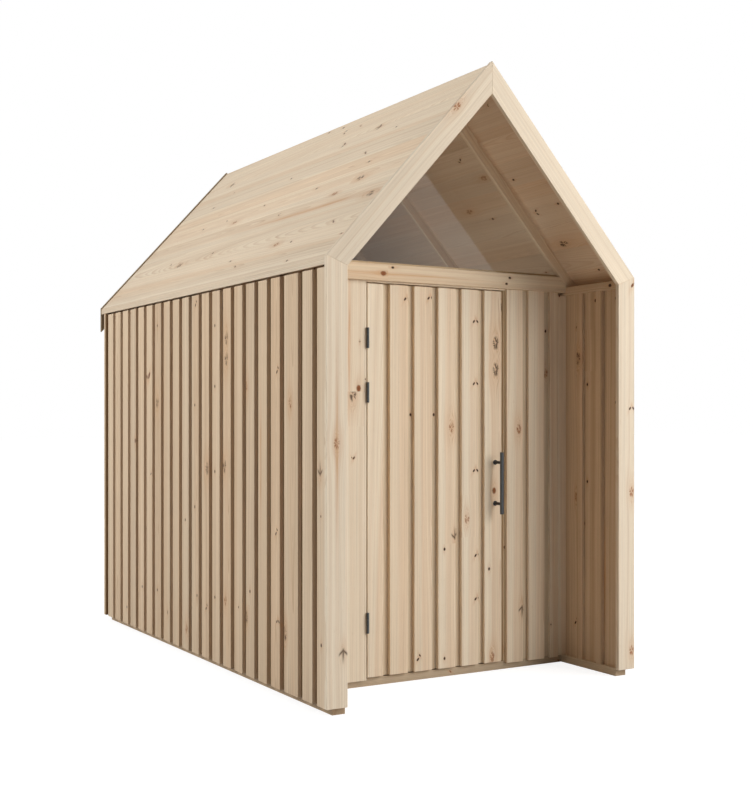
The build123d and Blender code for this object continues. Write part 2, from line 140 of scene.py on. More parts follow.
class Graph:
    """Adds and joins the shader nodes of a material or a world."""

    def __init__(self, owner):
        self.owner = owner
        owner.use_nodes = True
        self.tree = owner.node_tree
        self.tree.nodes.clear()

    def put(self, socket, value):
        if isinstance(value, bpy.types.NodeSocket):
            self.tree.links.new(value, socket)
        else:
            socket.default_value = value

    def node(self, kind, sockets=None, **settings):
        made = self.tree.nodes.new(kind)
        for key, value in settings.items():
            setattr(made, key, value)
        for key, value in (sockets or {}).items():
            self.put(made.inputs[key], value)
        return made

    def math(self, operation, *values, clamp=False):
        made = self.node("ShaderNodeMath", operation=operation, use_clamp=clamp)
        for socket, value in zip(made.inputs, values):
            self.put(socket, value)
        return made.outputs[0]

    def add(self, *values):
        total = values[0]
        for value in values[1:]:
            total = self.math("ADD", total, value)
        return total

    def multiply(self, *values):
        product = values[0]
        for value in values[1:]:
            product = self.math("MULTIPLY", product, value)
        return product

    def scale(self, vector, factors):
        made = self.node("ShaderNodeVectorMath", {0: vector, 1: factors}, operation="MULTIPLY")
        return made.outputs[0]

    def noise(self, vector, factors, detail=2.0, roughness=0.5):
        sockets = {"Vector": self.scale(vector, factors), "Scale": 1.0, "Detail": detail}
        sockets["Roughness"] = roughness
        return self.node("ShaderNodeTexNoise", sockets).outputs[0]

    def step(self, value, low, high, start=0.0, end=1.0):
        sockets = {0: value, 1: low, 2: high, 3: start, 4: end}
        made = self.node("ShaderNodeMapRange", sockets, interpolation_type="SMOOTHSTEP")
        return made.outputs[0]

    def mix(self, factor, first, second, blend="MIX"):
        sockets = {0: factor, 6: first, 7: second}
        made = self.node("ShaderNodeMix", sockets, data_type="RGBA", blend_type=blend)
        return made.outputs[2]

    def attribute(self, name):
        return self.node("ShaderNodeAttribute", attribute_name=name).outputs["Vector"]

    def parts(self, vector):
        return self.node("ShaderNodeSeparateXYZ", {0: vector}).outputs

    def bell(self, *ratios):
        """Falls from 1 where every ratio is 0 to nearly 0 where one of them passes 2."""
        squares = self.add(*[self.multiply(ratio, ratio) for ratio in ratios])
        return self.math("EXPONENT", self.multiply(squares, -1.0))

    def seen_directly(self):
        """1 for the rays of the camera, of mirrors and of clear glass, and 0 for the others."""
        path = self.node("ShaderNodeLightPath").outputs
        seen = self.math("MAXIMUM", path["Is Camera Ray"], path["Is Glossy Ray"])
        return self.math("MAXIMUM", seen, path["Is Transmission Ray"])

    def output(self, surface, kind="Material"):
        self.node("ShaderNodeOutput" + kind, {"Surface": surface})
        return self.owner


def material_graph(name):
    return Graph(bpy.data.materials.new(name))


def colour(red, green, blue):
    """A colour written as the eye sees it, from 0 to 255, turned into light values."""
    def light(value):
        share = value / 255
        return share / 12.92 if share <= 0.04045 else ((share + 0.055) / 1.055) ** 2.4

    return (light(red), light(green), light(blue), 1.0)


KNOT_RED = colour(150, 92, 55)
KNOT_DARK = colour(62, 38, 24)
KNOT_HALO = colour(196, 142, 92)

# Shapes of a knot: round, a branch cut along its length with its spike down or up, and a feather of
# splinters; a stain is a long reddish streak and belongs to the whole board
ROUND = 0
SPIKE_DOWN = 1
SPIKE_UP = -1
FEATHER = 2
STAIN = 3


def spike_and_wings(g, shape, x, y, wobble):
    """A branch cut along its length: a spike along the grain with two wings at its end."""
    sideways = g.math("ABSOLUTE", y)
    outward = g.multiply(x, shape)
    slope = g.add(outward, g.multiply(sideways, 0.85), wobble)
    wing = g.multiply(g.bell(g.multiply(slope, 1.7)), g.step(sideways, 1.2, 2.4, 1.0, 0.0))
    reach = g.multiply(g.step(outward, -6.0, -1.0), g.step(outward, 0.0, 1.2, 1.0, 0.0))
    spike = g.multiply(g.bell(g.multiply(y, 2.5)), reach)
    is_spike = g.math("COMPARE", g.math("ABSOLUTE", shape), 1.0, 0.2)
    return g.multiply(g.math("MAXIMUM", wing, spike), is_spike)


def feather(g, board, shape, x, y):
    """Short dark splinters that fan out from the middle of a knot."""
    turn = g.math("ARCTAN2", y, x)
    distance = g.math("SQRT", g.add(g.multiply(x, x, 0.55), g.multiply(y, y, 1.7)))
    seed = g.multiply(board[0], 9.0)
    polar = g.node("ShaderNodeCombineXYZ", {0: turn, 1: g.multiply(distance, 0.4), 2: seed})
    splinter = g.step(g.noise(polar.outputs[0], (3.2, 1.4, 1.0), 1.0), 0.44, 0.52)
    reach = g.multiply(g.step(distance, 0.05, 0.35), g.step(distance, 0.8, 1.5, 1.0, 0.0))
    return g.multiply(splinter, reach, g.math("COMPARE", shape, FEATHER, 0.2))


def long_stain(g, grain, along, side, radius):
    """A reddish streak that follows the fibres, forty times as long as it is wide."""
    safe = g.math("MAXIMUM", radius, 1e-4)
    fibres = g.step(g.noise(grain, (5.0, 260.0, 260.0), 2.0), 0.35, 0.65)
    lengthwise = g.multiply(g.math("DIVIDE", along, safe), 0.025)
    sideways = g.math("DIVIDE", side, safe)
    spread = g.bell(lengthwise, sideways)
    present = g.step(radius, 0.0005, 0.0012)
    return g.multiply(spread, g.add(0.30, g.multiply(fibres, 0.45)), present)


def around_knots(g, across, knots):
    """The distance across the log, pushed aside where the grain flows around a knot."""
    for along, side, radius in knots:
        square = g.multiply(radius, radius)
        stretched = g.multiply(along, 0.4)
        reach = g.add(g.multiply(stretched, stretched), g.multiply(side, side), g.multiply(square, 0.5), 1e-7)
        push = g.math("DIVIDE", g.multiply(side, square, 2.2), reach)
        across = g.math("SUBTRACT", across, push)
    return across


def board_light(g, grain, board, fibre):
    """How light the wood is: streaks, threads, fibres, soft clouds and the board's own tone."""
    streak = g.noise(grain, (1.1, 95.0, 95.0), 3.0, 0.6)
    thread = g.noise(grain, (2.2, 240.0, 240.0), 2.0, 0.6)
    cloud = g.noise(grain, (1.6, 9.0, 9.0), 2.0)
    shares = ((streak, 0.22), (thread, 0.22), (fibre, 0.12), (cloud, 0.12), (board[0], 0.12))
    return g.add(1.0, *[g.multiply(g.math("SUBTRACT", value, 0.5), share) for value, share in shares])


def draw_knots(g, tint, grain, board, look, knots):
    """Draws a knot and its twin, and gives the new colour and where their round faces lie."""
    darkness, shape = look[0], look[1]
    paired = g.step(knots[1][2], 0.0005, 0.0012)
    mask = 0.0
    for index, (along, side, radius) in enumerate(knots):
        # The knots of a pair lean towards each other
        lean = 0.5 if index else -0.5
        safe = g.math("MAXIMUM", radius, 1e-4)
        present = g.step(radius, 0.0005, 0.0012)
        is_round = 1.0 if index else g.math("COMPARE", shape, ROUND, 0.2)
        wobble = g.multiply(g.math("SUBTRACT", g.noise(grain, (240.0, 240.0, 240.0), 2.0), 0.5), 0.55)
        x = g.math("DIVIDE", along, safe)
        y = g.add(g.math("DIVIDE", side, safe), g.multiply(x, paired, lean))
        slim = g.multiply(x, 0.74)
        distance = g.math("SQRT", g.add(g.multiply(slim, slim), g.multiply(y, y)))
        distance = g.add(distance, wobble)
        disc = g.multiply(g.step(distance, 0.78, 1.06, 1.0, 0.0), present, is_round)
        rim = g.multiply(g.bell(g.multiply(g.math("SUBTRACT", distance, 1.0), 6.0)), present, is_round)
        halo = g.multiply(g.bell(g.multiply(x, 0.20), g.multiply(y, 0.62)), present)
        knot_rings = g.step(g.math("FRACT", g.multiply(distance, 3.2)), 0.3, 0.9)
        centre = g.step(distance, 0.0, 0.9, 1.0, 0.0)
        dark = g.math("MAXIMUM", darkness, g.multiply(centre, 0.35))
        body = g.mix(g.add(g.multiply(knot_rings, 0.25), dark), KNOT_RED, KNOT_DARK)
        tint = g.mix(g.multiply(halo, 0.34), tint, KNOT_HALO)
        tint = g.mix(g.multiply(rim, g.add(0.25, g.multiply(darkness, 0.6))), tint, KNOT_DARK)
        tint = g.mix(disc, tint, body)
        mask = g.math("MAXIMUM", mask, disc)
        if index == 0:
            cut = g.math("MAXIMUM", spike_and_wings(g, shape, x, y, wobble), feather(g, board, shape, x, y))
            cut_tint = g.mix(g.step(darkness, 0.55, 0.85), KNOT_RED, KNOT_DARK)
            strength = g.step(darkness, 0.0, 0.5, 0.0, 0.85)
            tint = g.mix(g.multiply(cut, present, strength), tint, cut_tint)
    return tint, mask


def wood(name, sap, heart, late, ring_contrast=0.5, relief=0.3):
    """Planed softwood: growth rings that bend around knots, heartwood, fibres and a tone per board.

    Every board carries its own coordinates: grain runs (along, across, depth), rings is measured
    from the middle of the log, and knot and twin are measured from the nearest knots.
    """
    g = material_graph(name)
    grain = g.attribute("grain")
    rings = g.parts(g.attribute("rings"))
    board = g.parts(g.attribute("board"))
    look = g.parts(g.attribute("look"))
    stain = g.parts(g.attribute("stain"))
    knots = [g.parts(g.attribute("knot")), g.parts(g.attribute("twin"))]

    # Grain that wanders slowly and flows around the knots
    wander = g.math("SUBTRACT", g.noise(grain, (1.3, 5.0, 5.0), 2.0), 0.5)
    ripple = g.math("SUBTRACT", g.noise(grain, (7.0, 40.0, 40.0), 2.0), 0.5)
    across = around_knots(g, rings[0], knots)
    from_pith = g.math("SQRT", g.add(g.multiply(across, across), g.multiply(rings[1], rings[1])))
    from_pith = g.add(from_pith, g.multiply(wander, 0.012), g.multiply(ripple, 0.0022))

    # Rings: early wood that darkens slowly into a sharp band of late wood
    seeded = g.node("ShaderNodeCombineXYZ", {0: from_pith, 1: rings[2]}).outputs[0]
    uneven = g.noise(seeded, (55.0, 1.0, 1.0), 2.0)
    turn = g.math("FRACT", g.add(g.multiply(from_pith, 330.0, board[2]), g.multiply(uneven, 2.2)))
    rise = g.step(turn, 0.35, 0.93)
    fall = g.step(turn, 0.94, 1.0, 1.0, 0.0)
    strength = g.step(g.noise(seeded, (150.0, 3.0, 3.0), 2.0), 0.3, 0.72, 0.25, 1.0)
    late_wood = g.multiply(rise, fall, strength)
    group = g.step(g.noise(seeded, (34.0, 5.0, 5.0), 3.0, 0.6), 0.35, 0.75)
    lines = g.step(g.noise(seeded, (170.0, 4.0, 4.0), 3.0, 0.65), 0.48, 0.75)

    # Sapwood outside, heartwood inside
    edge = g.add(0.062, g.multiply(wander, 0.02))
    inside = g.step(from_pith, g.math("SUBTRACT", edge, 0.006), g.add(edge, 0.006), 1.0, 0.0)
    tint = g.mix(g.multiply(inside, 0.85), sap, heart)
    for band, share in ((late_wood, 1.0), (group, 0.55), (lines, 0.55)):
        tint = g.mix(g.multiply(band, ring_contrast * share), tint, late)

    # The board's own tone, darker and warmer at sawn ends and backs
    fibre = g.noise(grain, (22.0, 1500.0, 1500.0), 2.0)
    light = board_light(g, grain, board, fibre)
    warm = g.mix(board[1], (1.015, 0.995, 0.975, 1.0), (0.99, 1.0, 1.01, 1.0))
    tint = g.mix(1.0, tint, warm, "MULTIPLY")
    grey = g.node("ShaderNodeCombineColor", {0: light, 1: light, 2: light}).outputs[0]
    tint = g.mix(1.0, tint, grey, "MULTIPLY")
    tint = g.mix(g.multiply(look[2], 0.42), tint, late)

    # Short dashes of resin along the grain, stains and knots
    dash = g.step(g.noise(grain, (34.0, 620.0, 620.0), 0.0), 0.76, 0.84)
    tint = g.mix(g.multiply(dash, 0.30), tint, late)
    tint = g.mix(long_stain(g, grain, *stain[:3]), tint, KNOT_HALO)
    tint, knot_mask = draw_knots(g, tint, grain, board, look, knots)

    height = g.add(g.multiply(late_wood, 0.5), g.multiply(fibre, 0.45), g.multiply(knot_mask, 0.6))
    bump = g.node("ShaderNodeBump", {"Strength": relief, "Distance": 0.0006, "Height": height})
    rough = g.add(0.60, g.multiply(fibre, 0.16), g.multiply(late_wood, -0.08), g.multiply(knot_mask, -0.12))
    sockets = {"Base Color": tint, "Roughness": rough, "Specular IOR Level": 0.3, "Normal": bump.outputs[0]}
    return g.output(g.node("ShaderNodeBsdfPrincipled", sockets).outputs[0])


def black_metal(name, base, roughness):
    """Black powder coat: a faint orange peel, rubbed a little lighter in patches."""
    g = material_graph(name)
    place = g.node("ShaderNodeTexCoord").outputs["Object"]
    peel = g.noise(place, (900.0, 900.0, 900.0), 2.0)
    patches = g.noise(place, (60.0, 60.0, 60.0), 3.0)
    worn = g.step(patches, 0.45, 0.75)
    tint = g.mix(g.multiply(worn, 0.35), base, colour(84, 88, 90))
    rough = g.add(roughness, g.multiply(patches, 0.12))
    bump = g.node("ShaderNodeBump", {"Strength": 0.25, "Distance": 0.0002, "Height": peel})
    surface = g.node(
        "ShaderNodeBsdfPrincipled",
        {"Base Color": tint, "Roughness": rough, "Normal": bump.outputs[0]},
    )
    return g.output(surface.outputs[0])


def window_glass(name):
    """Clear pane that lets lamps and bounced light through, with a faint uneven tint."""
    g = material_graph(name)
    place = g.node("ShaderNodeTexCoord").outputs["Object"]
    film = g.step(g.noise(place, (3.0, 3.0, 3.0), 3.0), 0.35, 0.8)
    pane = g.node(
        "ShaderNodeBsdfPrincipled",
        {
            "Base Color": g.mix(film, (0.985, 0.99, 0.985, 1.0), (0.96, 0.975, 0.965, 1.0)),
            "Roughness": 0.0,
            "IOR": 1.4,
            "Transmission Weight": 1.0,
        },
    )
    clear = g.node("ShaderNodeBsdfTransparent", {0: (0.94, 0.96, 0.95, 1.0)})
    path = g.node("ShaderNodeLightPath").outputs
    passing = g.math("MAXIMUM", path["Is Shadow Ray"], path["Is Diffuse Ray"])
    mixed = g.node("ShaderNodeMixShader", {0: passing, 1: pane.outputs[0], 2: clear.outputs[0]})
    return g.output(mixed.outputs[0])


CLADDING = wood("wood_cladding", colour(243, 229, 205), colour(238, 216, 188), colour(192, 152, 111), 0.5)
# The side and rear walls take a darker, pinker copy of the cladding: painted shade for walls turned away from
# the key lamp
SHADED_SIDING = wood("wood_siding_painted_shade", colour(228, 206, 177), colour(223, 197, 166), colour(178, 140, 102), 0.5)
BACKING = wood("wood_backing", colour(224, 205, 176), colour(216, 193, 162), colour(170, 130, 92))
# Backing on the side and rear walls is much darker than the boards: painted shade in the recesses between the
# cover boards
SHADED_SIDE_BACKING = wood("wood_side_backing_painted_shade", colour(146, 117, 83), colour(136, 104, 72), colour(100, 71, 44))
# The porch lining and the top plates take a darker copy of the cladding: painted shade for the sides of the
# porch and for plates that would catch light
SHADED_LINING = wood("wood_lining_painted_shade", colour(216, 191, 160), colour(207, 177, 144), colour(150, 110, 74), 0.75)
BEAM = wood("wood_beam", colour(229, 210, 181), colour(223, 199, 168), colour(190, 146, 104), 0.5)
TRIM = wood("wood_trim", colour(238, 223, 200), colour(232, 212, 186), colour(197, 159, 120), 0.45)
BARGE = wood("wood_barge", colour(150, 132, 108), colour(142, 122, 98), colour(104, 84, 62), 0.5)
ROOF = wood("wood_roof", colour(240, 224, 199), colour(234, 212, 184), colour(188, 145, 104), 0.48)
BASE = wood("wood_base", colour(204, 184, 157), colour(196, 172, 143), colour(150, 120, 88))
FRAME_WOOD = wood("wood_frame", colour(222, 200, 164), colour(212, 182, 146), colour(178, 136, 92))
METAL = black_metal("black_coat", colour(64, 68, 70), 0.38)
DARK_METAL = black_metal("dark_coat", colour(28, 29, 30), 0.42)
GLASS = window_glass("clear_pane")


# Boards


class Knot:
    """A knot at a place along and across a board, with a smaller twin beside it."""

    def __init__(self, along, across, radius, dark=0.5, shape=ROUND, twin=None):
        self.along = along
        self.across = across
        self.radius = radius
        self.dark = dark
        self.shape = shape
        self.twin = twin or (0.0, 0.0, 0.0)


NO_KNOT = Knot(-9.0, 0.0, 0.0)

# Kinds of knot: radius, darkness, shape, and the twin's place along and across and its radius
KINDS = {
    "dot": (0.0052, 0.95, ROUND, None),
    "ring": (0.0110, 0.10, ROUND, None),
    "eyes": (0.0050, 0.90, ROUND, (0.001, 0.020, 0.0048)),
    "spots": (0.0052, 0.90, ROUND, (0.018, 0.011, 0.0040)),
    "crown": (0.0110, 0.90, SPIKE_DOWN, None),
    "anchor": (0.0110, 0.85, SPIKE_UP, None),
    "feather": (0.0190, 0.90, FEATHER, None),
    "faint": (0.0150, 0.50, FEATHER, None),
    "stain": (0.0080, 0.0, STAIN, None),
    "streak": (0.0160, 0.0, STAIN, None),
}


def placed(origin, along, across):
    """Frame of a board: its start, its length and its width; its depth follows from them."""
    along = along.normalized()
    across = across.normalized()
    depth = along.cross(across)
    rows = zip(along, across, depth, origin)
    return Matrix([list(row) for row in rows] + [(0, 0, 0, 1)])


def turned_to(along, across, depth):
    """The width's direction, turned over where the depth would otherwise run the wrong way."""
    return across if along.cross(across).dot(depth) > 0 else -across


def random_knots(length, width, density):
    """Knots at random places: density is how many there are in a metre, on average."""
    knots = []
    place = rng.expovariate(density) if density else length
    while place < length:
        radius = min(rng.lognormvariate(-5.35, 0.38), 0.2 * width)
        dark = rng.choice((0.15, 0.45, 0.8, 0.95))
        twin = None
        if rng.random() < 0.4:
            away = rng.choice((-1, 1)) * rng.uniform(1.6, 3.0) * radius
            twin = (rng.uniform(-1.4, 1.4) * radius, away, radius * rng.uniform(0.3, 0.75))
        across = rng.uniform(-0.42, 0.42) * width
        shape = rng.choice((SPIKE_DOWN, SPIKE_UP, FEATHER)) if rng.random() < 0.15 else ROUND
        knots.append(Knot(place, across, radius, dark, shape, twin))
        place += 0.07 + rng.expovariate(density)
    return knots


def dress(name, mesh, material, body, nodes):
    """Makes the object of a mesh, which rides on the body and stands for the nodes."""
    mesh.materials.append(material)
    made = bpy.data.objects.new(name, mesh)
    bpy.context.scene.collection.objects.link(made)
    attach(made, body)
    if nodes:
        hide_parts(*nodes)


class Piece:
    """One mesh object made of many boards, each with its own grain.

    Its marks are knots at chosen points of the row frame; each goes to the board that it lies on.
    """

    def __init__(self, name, material, slot, marks=()):
        self.name = name
        self.material = material
        self.slot = slot
        self.marks = marks
        self.vertices = []
        self.faces = []
        names = ("grain", "rings", "knot", "twin", "look", "board", "stain")
        self.data = {name: [] for name in names}

    def board(self, place, size, cuts=(), density=1.0, arris=ARRIS, pith=None, sawn_back=False):
        """Adds a board of size (length, width, thickness) from the start of its frame.

        The visible face lies at depth 0, and a sawn back is darker and warmer. Each cut is a
        point and a direction in the row frame, and what lies beyond it goes.
        """
        length, width, thickness = size
        mesh = bmesh.new()
        bmesh.ops.create_cube(mesh, size=1)
        middle = Vector((length / 2, 0, thickness / 2))
        for vertex in mesh.verts:
            vertex.co = Vector((vertex.co.x * length, vertex.co.y * width, vertex.co.z * thickness)) + middle
        back = place.inverted()
        for point, beyond in cuts:
            parts = list(mesh.verts) + list(mesh.edges) + list(mesh.faces)
            cut = bmesh.ops.bisect_plane(
                mesh,
                geom=parts,
                plane_co=back @ Vector(point),
                plane_no=(back.to_3x3() @ Vector(beyond)).normalized(),
                clear_outer=True,
            )
            edges = [part for part in cut["geom_cut"] if isinstance(part, bmesh.types.BMEdge)]
            if edges:
                bmesh.ops.contextual_create(mesh, geom=edges)
        bmesh.ops.recalc_face_normals(mesh, faces=mesh.faces)
        if arris:
            bmesh.ops.bevel(
                mesh,
                geom=list(mesh.edges),
                offset=arris,
                segments=2,
                profile=0.5,
                affect="EDGES",
                clamp_overlap=True,
            )
        marked = self._marked_knots(back, size)
        stains = [knot for knot in marked if knot.shape == STAIN]
        knots = [knot for knot in marked if knot.shape != STAIN]
        chosen = [knot.along for knot in knots]
        for knot in random_knots(length, width, density):
            if all(abs(knot.along - along) > KNOT_ROOM for along in chosen):
                knots.append(knot)
        knots = sorted(knots, key=lambda knot: knot.along)
        ends = [(one.along + two.along) / 2 for one, two in zip(knots, knots[1:])]
        for end in ends:
            parts = list(mesh.verts) + list(mesh.edges) + list(mesh.faces)
            bmesh.ops.bisect_plane(mesh, geom=parts, plane_co=(end, 0, 0), plane_no=(1, 0, 0))
        mesh.normal_update()
        stain = stains[0] if stains else NO_KNOT
        self._take(mesh, place, knots, ends, stain, pith, sawn_back)
        mesh.free()

    def _marked_knots(self, back, size):
        length, width, thickness = size
        knots = []
        for point, kind in self.marks:
            along, across, depth = back @ point
            on_board = 0 < along < length and abs(across) < width / 2 + MARK_REACH
            if on_board and -MARK_DEPTH < depth < thickness + MARK_REACH:
                knots.append(Knot(along, across, *KINDS[kind]))
        return knots

    def _take(self, mesh, place, knots, ends, stain, pith, sawn_back):
        """Copies the board's faces, with the attributes that its material reads at each corner."""
        offset = (rng.uniform(0, 40), rng.uniform(0, 40), rng.uniform(0, 40))
        if pith is None:
            side = rng.choice((-1, 1))
            pith = (side * rng.uniform(0.0, 0.09), rng.choice((-1, 1)) * rng.uniform(0.03, 0.09))
        tilt = (rng.gauss(0, 0.006), rng.gauss(0, 0.010))
        seed = rng.uniform(0, 100)
        board = (rng.random(), rng.random(), rng.uniform(0.8, 1.25))
        start = len(self.vertices)
        mesh.verts.index_update()
        self.vertices += [place @ vertex.co for vertex in mesh.verts]
        for face in mesh.faces:
            self.faces.append([start + vertex.index for vertex in face.verts])
            middle = face.calc_center_median()
            owner = sum(1 for end in ends if middle.x > end)
            knot = knots[owner] if knots else NO_KNOT
            is_end = abs(face.normal.x) > 0.5 or (sawn_back and face.normal.z > 0.5)
            for vertex in face.verts:
                along, across, depth = vertex.co
                away = (along - knot.along, across - knot.across)
                self.data["grain"].append((along + offset[0], across + offset[1], depth + offset[2]))
                from_pith = (across - pith[0] - tilt[0] * along, depth - pith[1] - tilt[1] * along)
                self.data["rings"].append((*from_pith, seed))
                self.data["knot"].append((*away, knot.radius))
                self.data["twin"].append((away[0] - knot.twin[0], away[1] - knot.twin[1], knot.twin[2]))
                self.data["look"].append((knot.dark, knot.shape, 1.0 if is_end else 0.0))
                self.data["stain"].append((along - stain.along, across - stain.across, stain.radius))
                self.data["board"].append(board)

    def finish(self, body, *nodes):
        mesh = bpy.data.meshes.new(self.name)
        mesh.from_pydata([tuple(vertex) for vertex in self.vertices], [], self.faces)
        for name, values in self.data.items():
            layer = mesh.attributes.new(name, "FLOAT_VECTOR", "CORNER")
            layer.data.foreach_set("vector", [number for value in values for number in value])
        mesh.update()
        dress(self.name, mesh, self.material, body, nodes)


def timber_between(piece, corner, opposite, along, face, **options):
    """Adds an upright box of timber: along is its length's axis, face the side that shows."""
    low = Vector([min(pair) for pair in zip(corner, opposite)])
    high = Vector([max(pair) for pair in zip(corner, opposite)])
    size = high - low
    length_axis = "xyz".index(along)
    depth_axis = "xyz".index(face[1])
    width_axis = 3 - length_axis - depth_axis
    axes = (X, Y, Z)
    inward = 1 if face[0] == "-" else -1
    across = turned_to(axes[length_axis], axes[width_axis], axes[depth_axis] * inward)
    origin = low.copy()
    origin[width_axis] = (low[width_axis] + high[width_axis]) / 2
    if inward < 0:
        origin[depth_axis] = high[depth_axis]
    place = placed(origin, axes[length_axis], across)
    piece.board(place, (size[length_axis], size[width_axis], size[depth_axis]), **options)


def node_timber(piece, node, along, face, **options):
    """Adds a timber in the place of a box-shaped CAD node."""
    low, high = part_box(node)
    timber_between(piece, low, high, along, face, **options)


def cover_run(start, end, width=BOARD_WIDTH, gap=BOARD_GAP):
    """Cover boards from a start, repeated to an end, with the last one ripped to fit."""
    boards = []
    left = start
    while left < end - 0.001:
        boards.append((left, min(left + width, end)))
        left += width + gap
    return boards


def backing_run(covers, run):
    """Backing boards that close the gaps between the covers and lap behind both neighbours."""
    edges = [run[0] - BACKING_LAP]
    for cover in covers:
        edges += cover
    edges.append(run[1] + BACKING_LAP)
    boards = []
    for before, after in zip(edges[0::2], edges[1::2]):
        left = max(before - BACKING_LAP, run[0])
        right = min(after + BACKING_LAP, run[1])
        if right - left > BACKING_LAP:
            boards.append((left, right))
    return boards


# Places read from the frame

POST_LOW, POST_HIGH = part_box("right_portal_post")
HALF_WIDTH = POST_HIGH.x
FRONT = POST_LOW.y
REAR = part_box("right_rear_barge_board")[1].y
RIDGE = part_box("right_portal_slope")[1].z
PITCH = math.atan2(RIDGE - POST_HIGH.z, HALF_WIDTH)
SLOPE = math.tan(PITCH)
PLUMB = 1 / math.cos(PITCH)
DECK_UNDERSIDE = ROOF_LIP + DECK_THICKNESS
RAFTER_UNDERSIDE = DECK_UNDERSIDE + RAFTER_DEPTH


def down_slope(side):
    """Direction down the roof on the right (1) or the left (-1)."""
    return Vector((side * math.cos(PITCH), 0, -math.sin(PITCH)))


def out_of_roof(side):
    """Direction square to the roof and out of it."""
    return Vector((side * math.sin(PITCH), 0, math.cos(PITCH)))


def roof_point(layer, run, side, y):
    """Point on a roof layer, at a distance down the slope from the ridge's plumb line."""
    apex = Vector((0, y, RIDGE - layer * PLUMB))
    return apex + down_slope(side) * run


def under_roof(layer):
    """Cuts that keep a board under a layer of both roof slopes."""
    return [(roof_point(layer, 0, side, 0), out_of_roof(side)) for side in (-1, 1)]


def plumb_cut(side, away=0.0):
    """A plumb cut facing the given side, at a distance from the ridge's plumb line."""
    return (Vector((side * away, 0, 0)), Vector((side, 0, 0)))


# Knots where the photograph shows them, in metres, by kind

LEFT_WALL_KNOTS = {
    # Behind the portal's front, and height
    "spots": ((1.42, 1.81), (0.47, 1.44), (0.48, 0.72), (1.28, 0.28)),
    "dot": (
        (1.17, 1.69), (1.17, 1.39), (1.97, 1.74), (1.43, 1.30), (1.61, 1.38), (1.17, 0.97),
        (1.43, 0.78), (2.21, 0.28), (1.97, 0.29), (1.40, 0.33), (1.17, 0.35), (2.47, 0.13),
        (0.05, 0.29),
    ),
    "feather": (
        (1.03, 1.62), (1.03, 1.52), (1.97, 1.32), (1.27, 0.98), (1.05, 1.00), (0.24, 0.92),
        (0.80, 0.30), (0.39, 0.29),
    ),
    "faint": ((0.34, 1.30), (0.80, 1.38), (1.04, 0.35), (1.54, 0.14)),
    "anchor": ((0.06, 1.00),),
    "stain": ((0.64, 1.02),),
    "eyes": ((0.47, 0.33),),
}
FRONT_WALL_KNOTS = {
    # Across from the middle, and height
    "feather": ((-0.48, 1.34), (0.32, 1.60), (0.32, 1.47), (0.37, 1.79)),
    "ring": ((-0.45, 1.37), (0.31, 0.88)),
    "stain": ((-0.50, 1.62),),
    "eyes": (
        (-0.20, 1.79), (-0.07, 1.80), (0.19, 1.70), (0.19, 1.40), (0.19, 0.98), (0.20, 0.57),
        (0.20, 0.36),
    ),
    "dot": ((-0.16, 1.25), (-0.03, 1.25), (0.02, 0.61), (0.02, 0.09), (0.28, 0.50), (0.64, 1.67)),
    "faint": ((0.06, 1.19), (0.15, 0.75), (0.30, 0.07), (0.46, 1.18), (0.64, 1.46)),
    "anchor": ((0.08, 0.66),),
    "spots": ((-0.13, 0.10),),
    "crown": ((0.48, 0.30),),
}
WING_KNOTS = {
    # Behind the portal's front, and height, inside the porch on the right
    "eyes": ((0.33, 1.69),),
    "dot": ((0.19, 1.81), (0.04, 1.81), (0.25, 1.40), (0.04, 1.31), (0.25, 0.92)),
    "feather": ((0.30, 1.53),),
    "faint": ((0.33, 0.84),),
    "spots": ((0.34, 0.21),),
    "stain": ((0.12, 0.45), (0.03, 0.32)),
}
PORTAL_KNOTS = {
    # Across from the middle, and height
    "faint": ((-0.79, 1.13), (0.82, 0.88), (0.82, 0.12), (-0.19, 2.60)),
    "stain": ((-0.79, 1.12),),
    "crown": ((-0.76, 0.27),),
    "eyes": ((0.81, 1.28),),
}
BEAM_KNOTS = {
    "ring": ((-0.33, 1.90),),
    "dot": ((-0.28, 1.93), (0.39, 1.92), (0.37, 1.89)),
    "stain": ((-0.24, 1.90),),
}
ROOF_KNOTS = {
    # Behind the portal's front, and down the left slope
    "anchor": ((0.75, 0.20),),
    "dot": (
        (1.51, 0.02), (0.48, 0.53), (0.89, 0.62), (1.45, 0.41), (2.49, 0.42), (2.28, 0.65),
        (0.59, 1.05), (1.23, 1.08), (0.43, 1.20), (1.66, 0.95),
    ),
    "eyes": ((1.23, 0.11), (1.50, 0.61)),
    "spots": ((0.63, 0.43), (0.27, 0.98), (1.08, 1.14)),
    "feather": ((0.41, 0.66), (0.12, 0.83), (2.09, 0.98)),
    "faint": ((0.57, 0.73), (1.77, 0.69), (0.76, 1.04)),
    "streak": ((0.70, 0.81),),
    "crown": ((2.56, 0.20),),
}
CEILING_KNOTS = {
    # Behind the portal's front, and down the right slope, on its underside
    "dot": ((0.48, 0.24), (0.33, 0.54), (0.67, 0.72), (0.14, 0.72), (0.16, 1.12)),
    "spots": ((0.61, 0.36),),
    "faint": ((0.53, 0.49), (0.81, 0.65)),
    "eyes": ((0.32, 0.73),),
    "feather": ((0.28, 0.94),),
}


def marks_at(knots, place_of):
    """The listed knots as points of the row frame, each with its kind."""
    return [(place_of(*place), kind) for kind, places in knots.items() for place in places]


# Walls


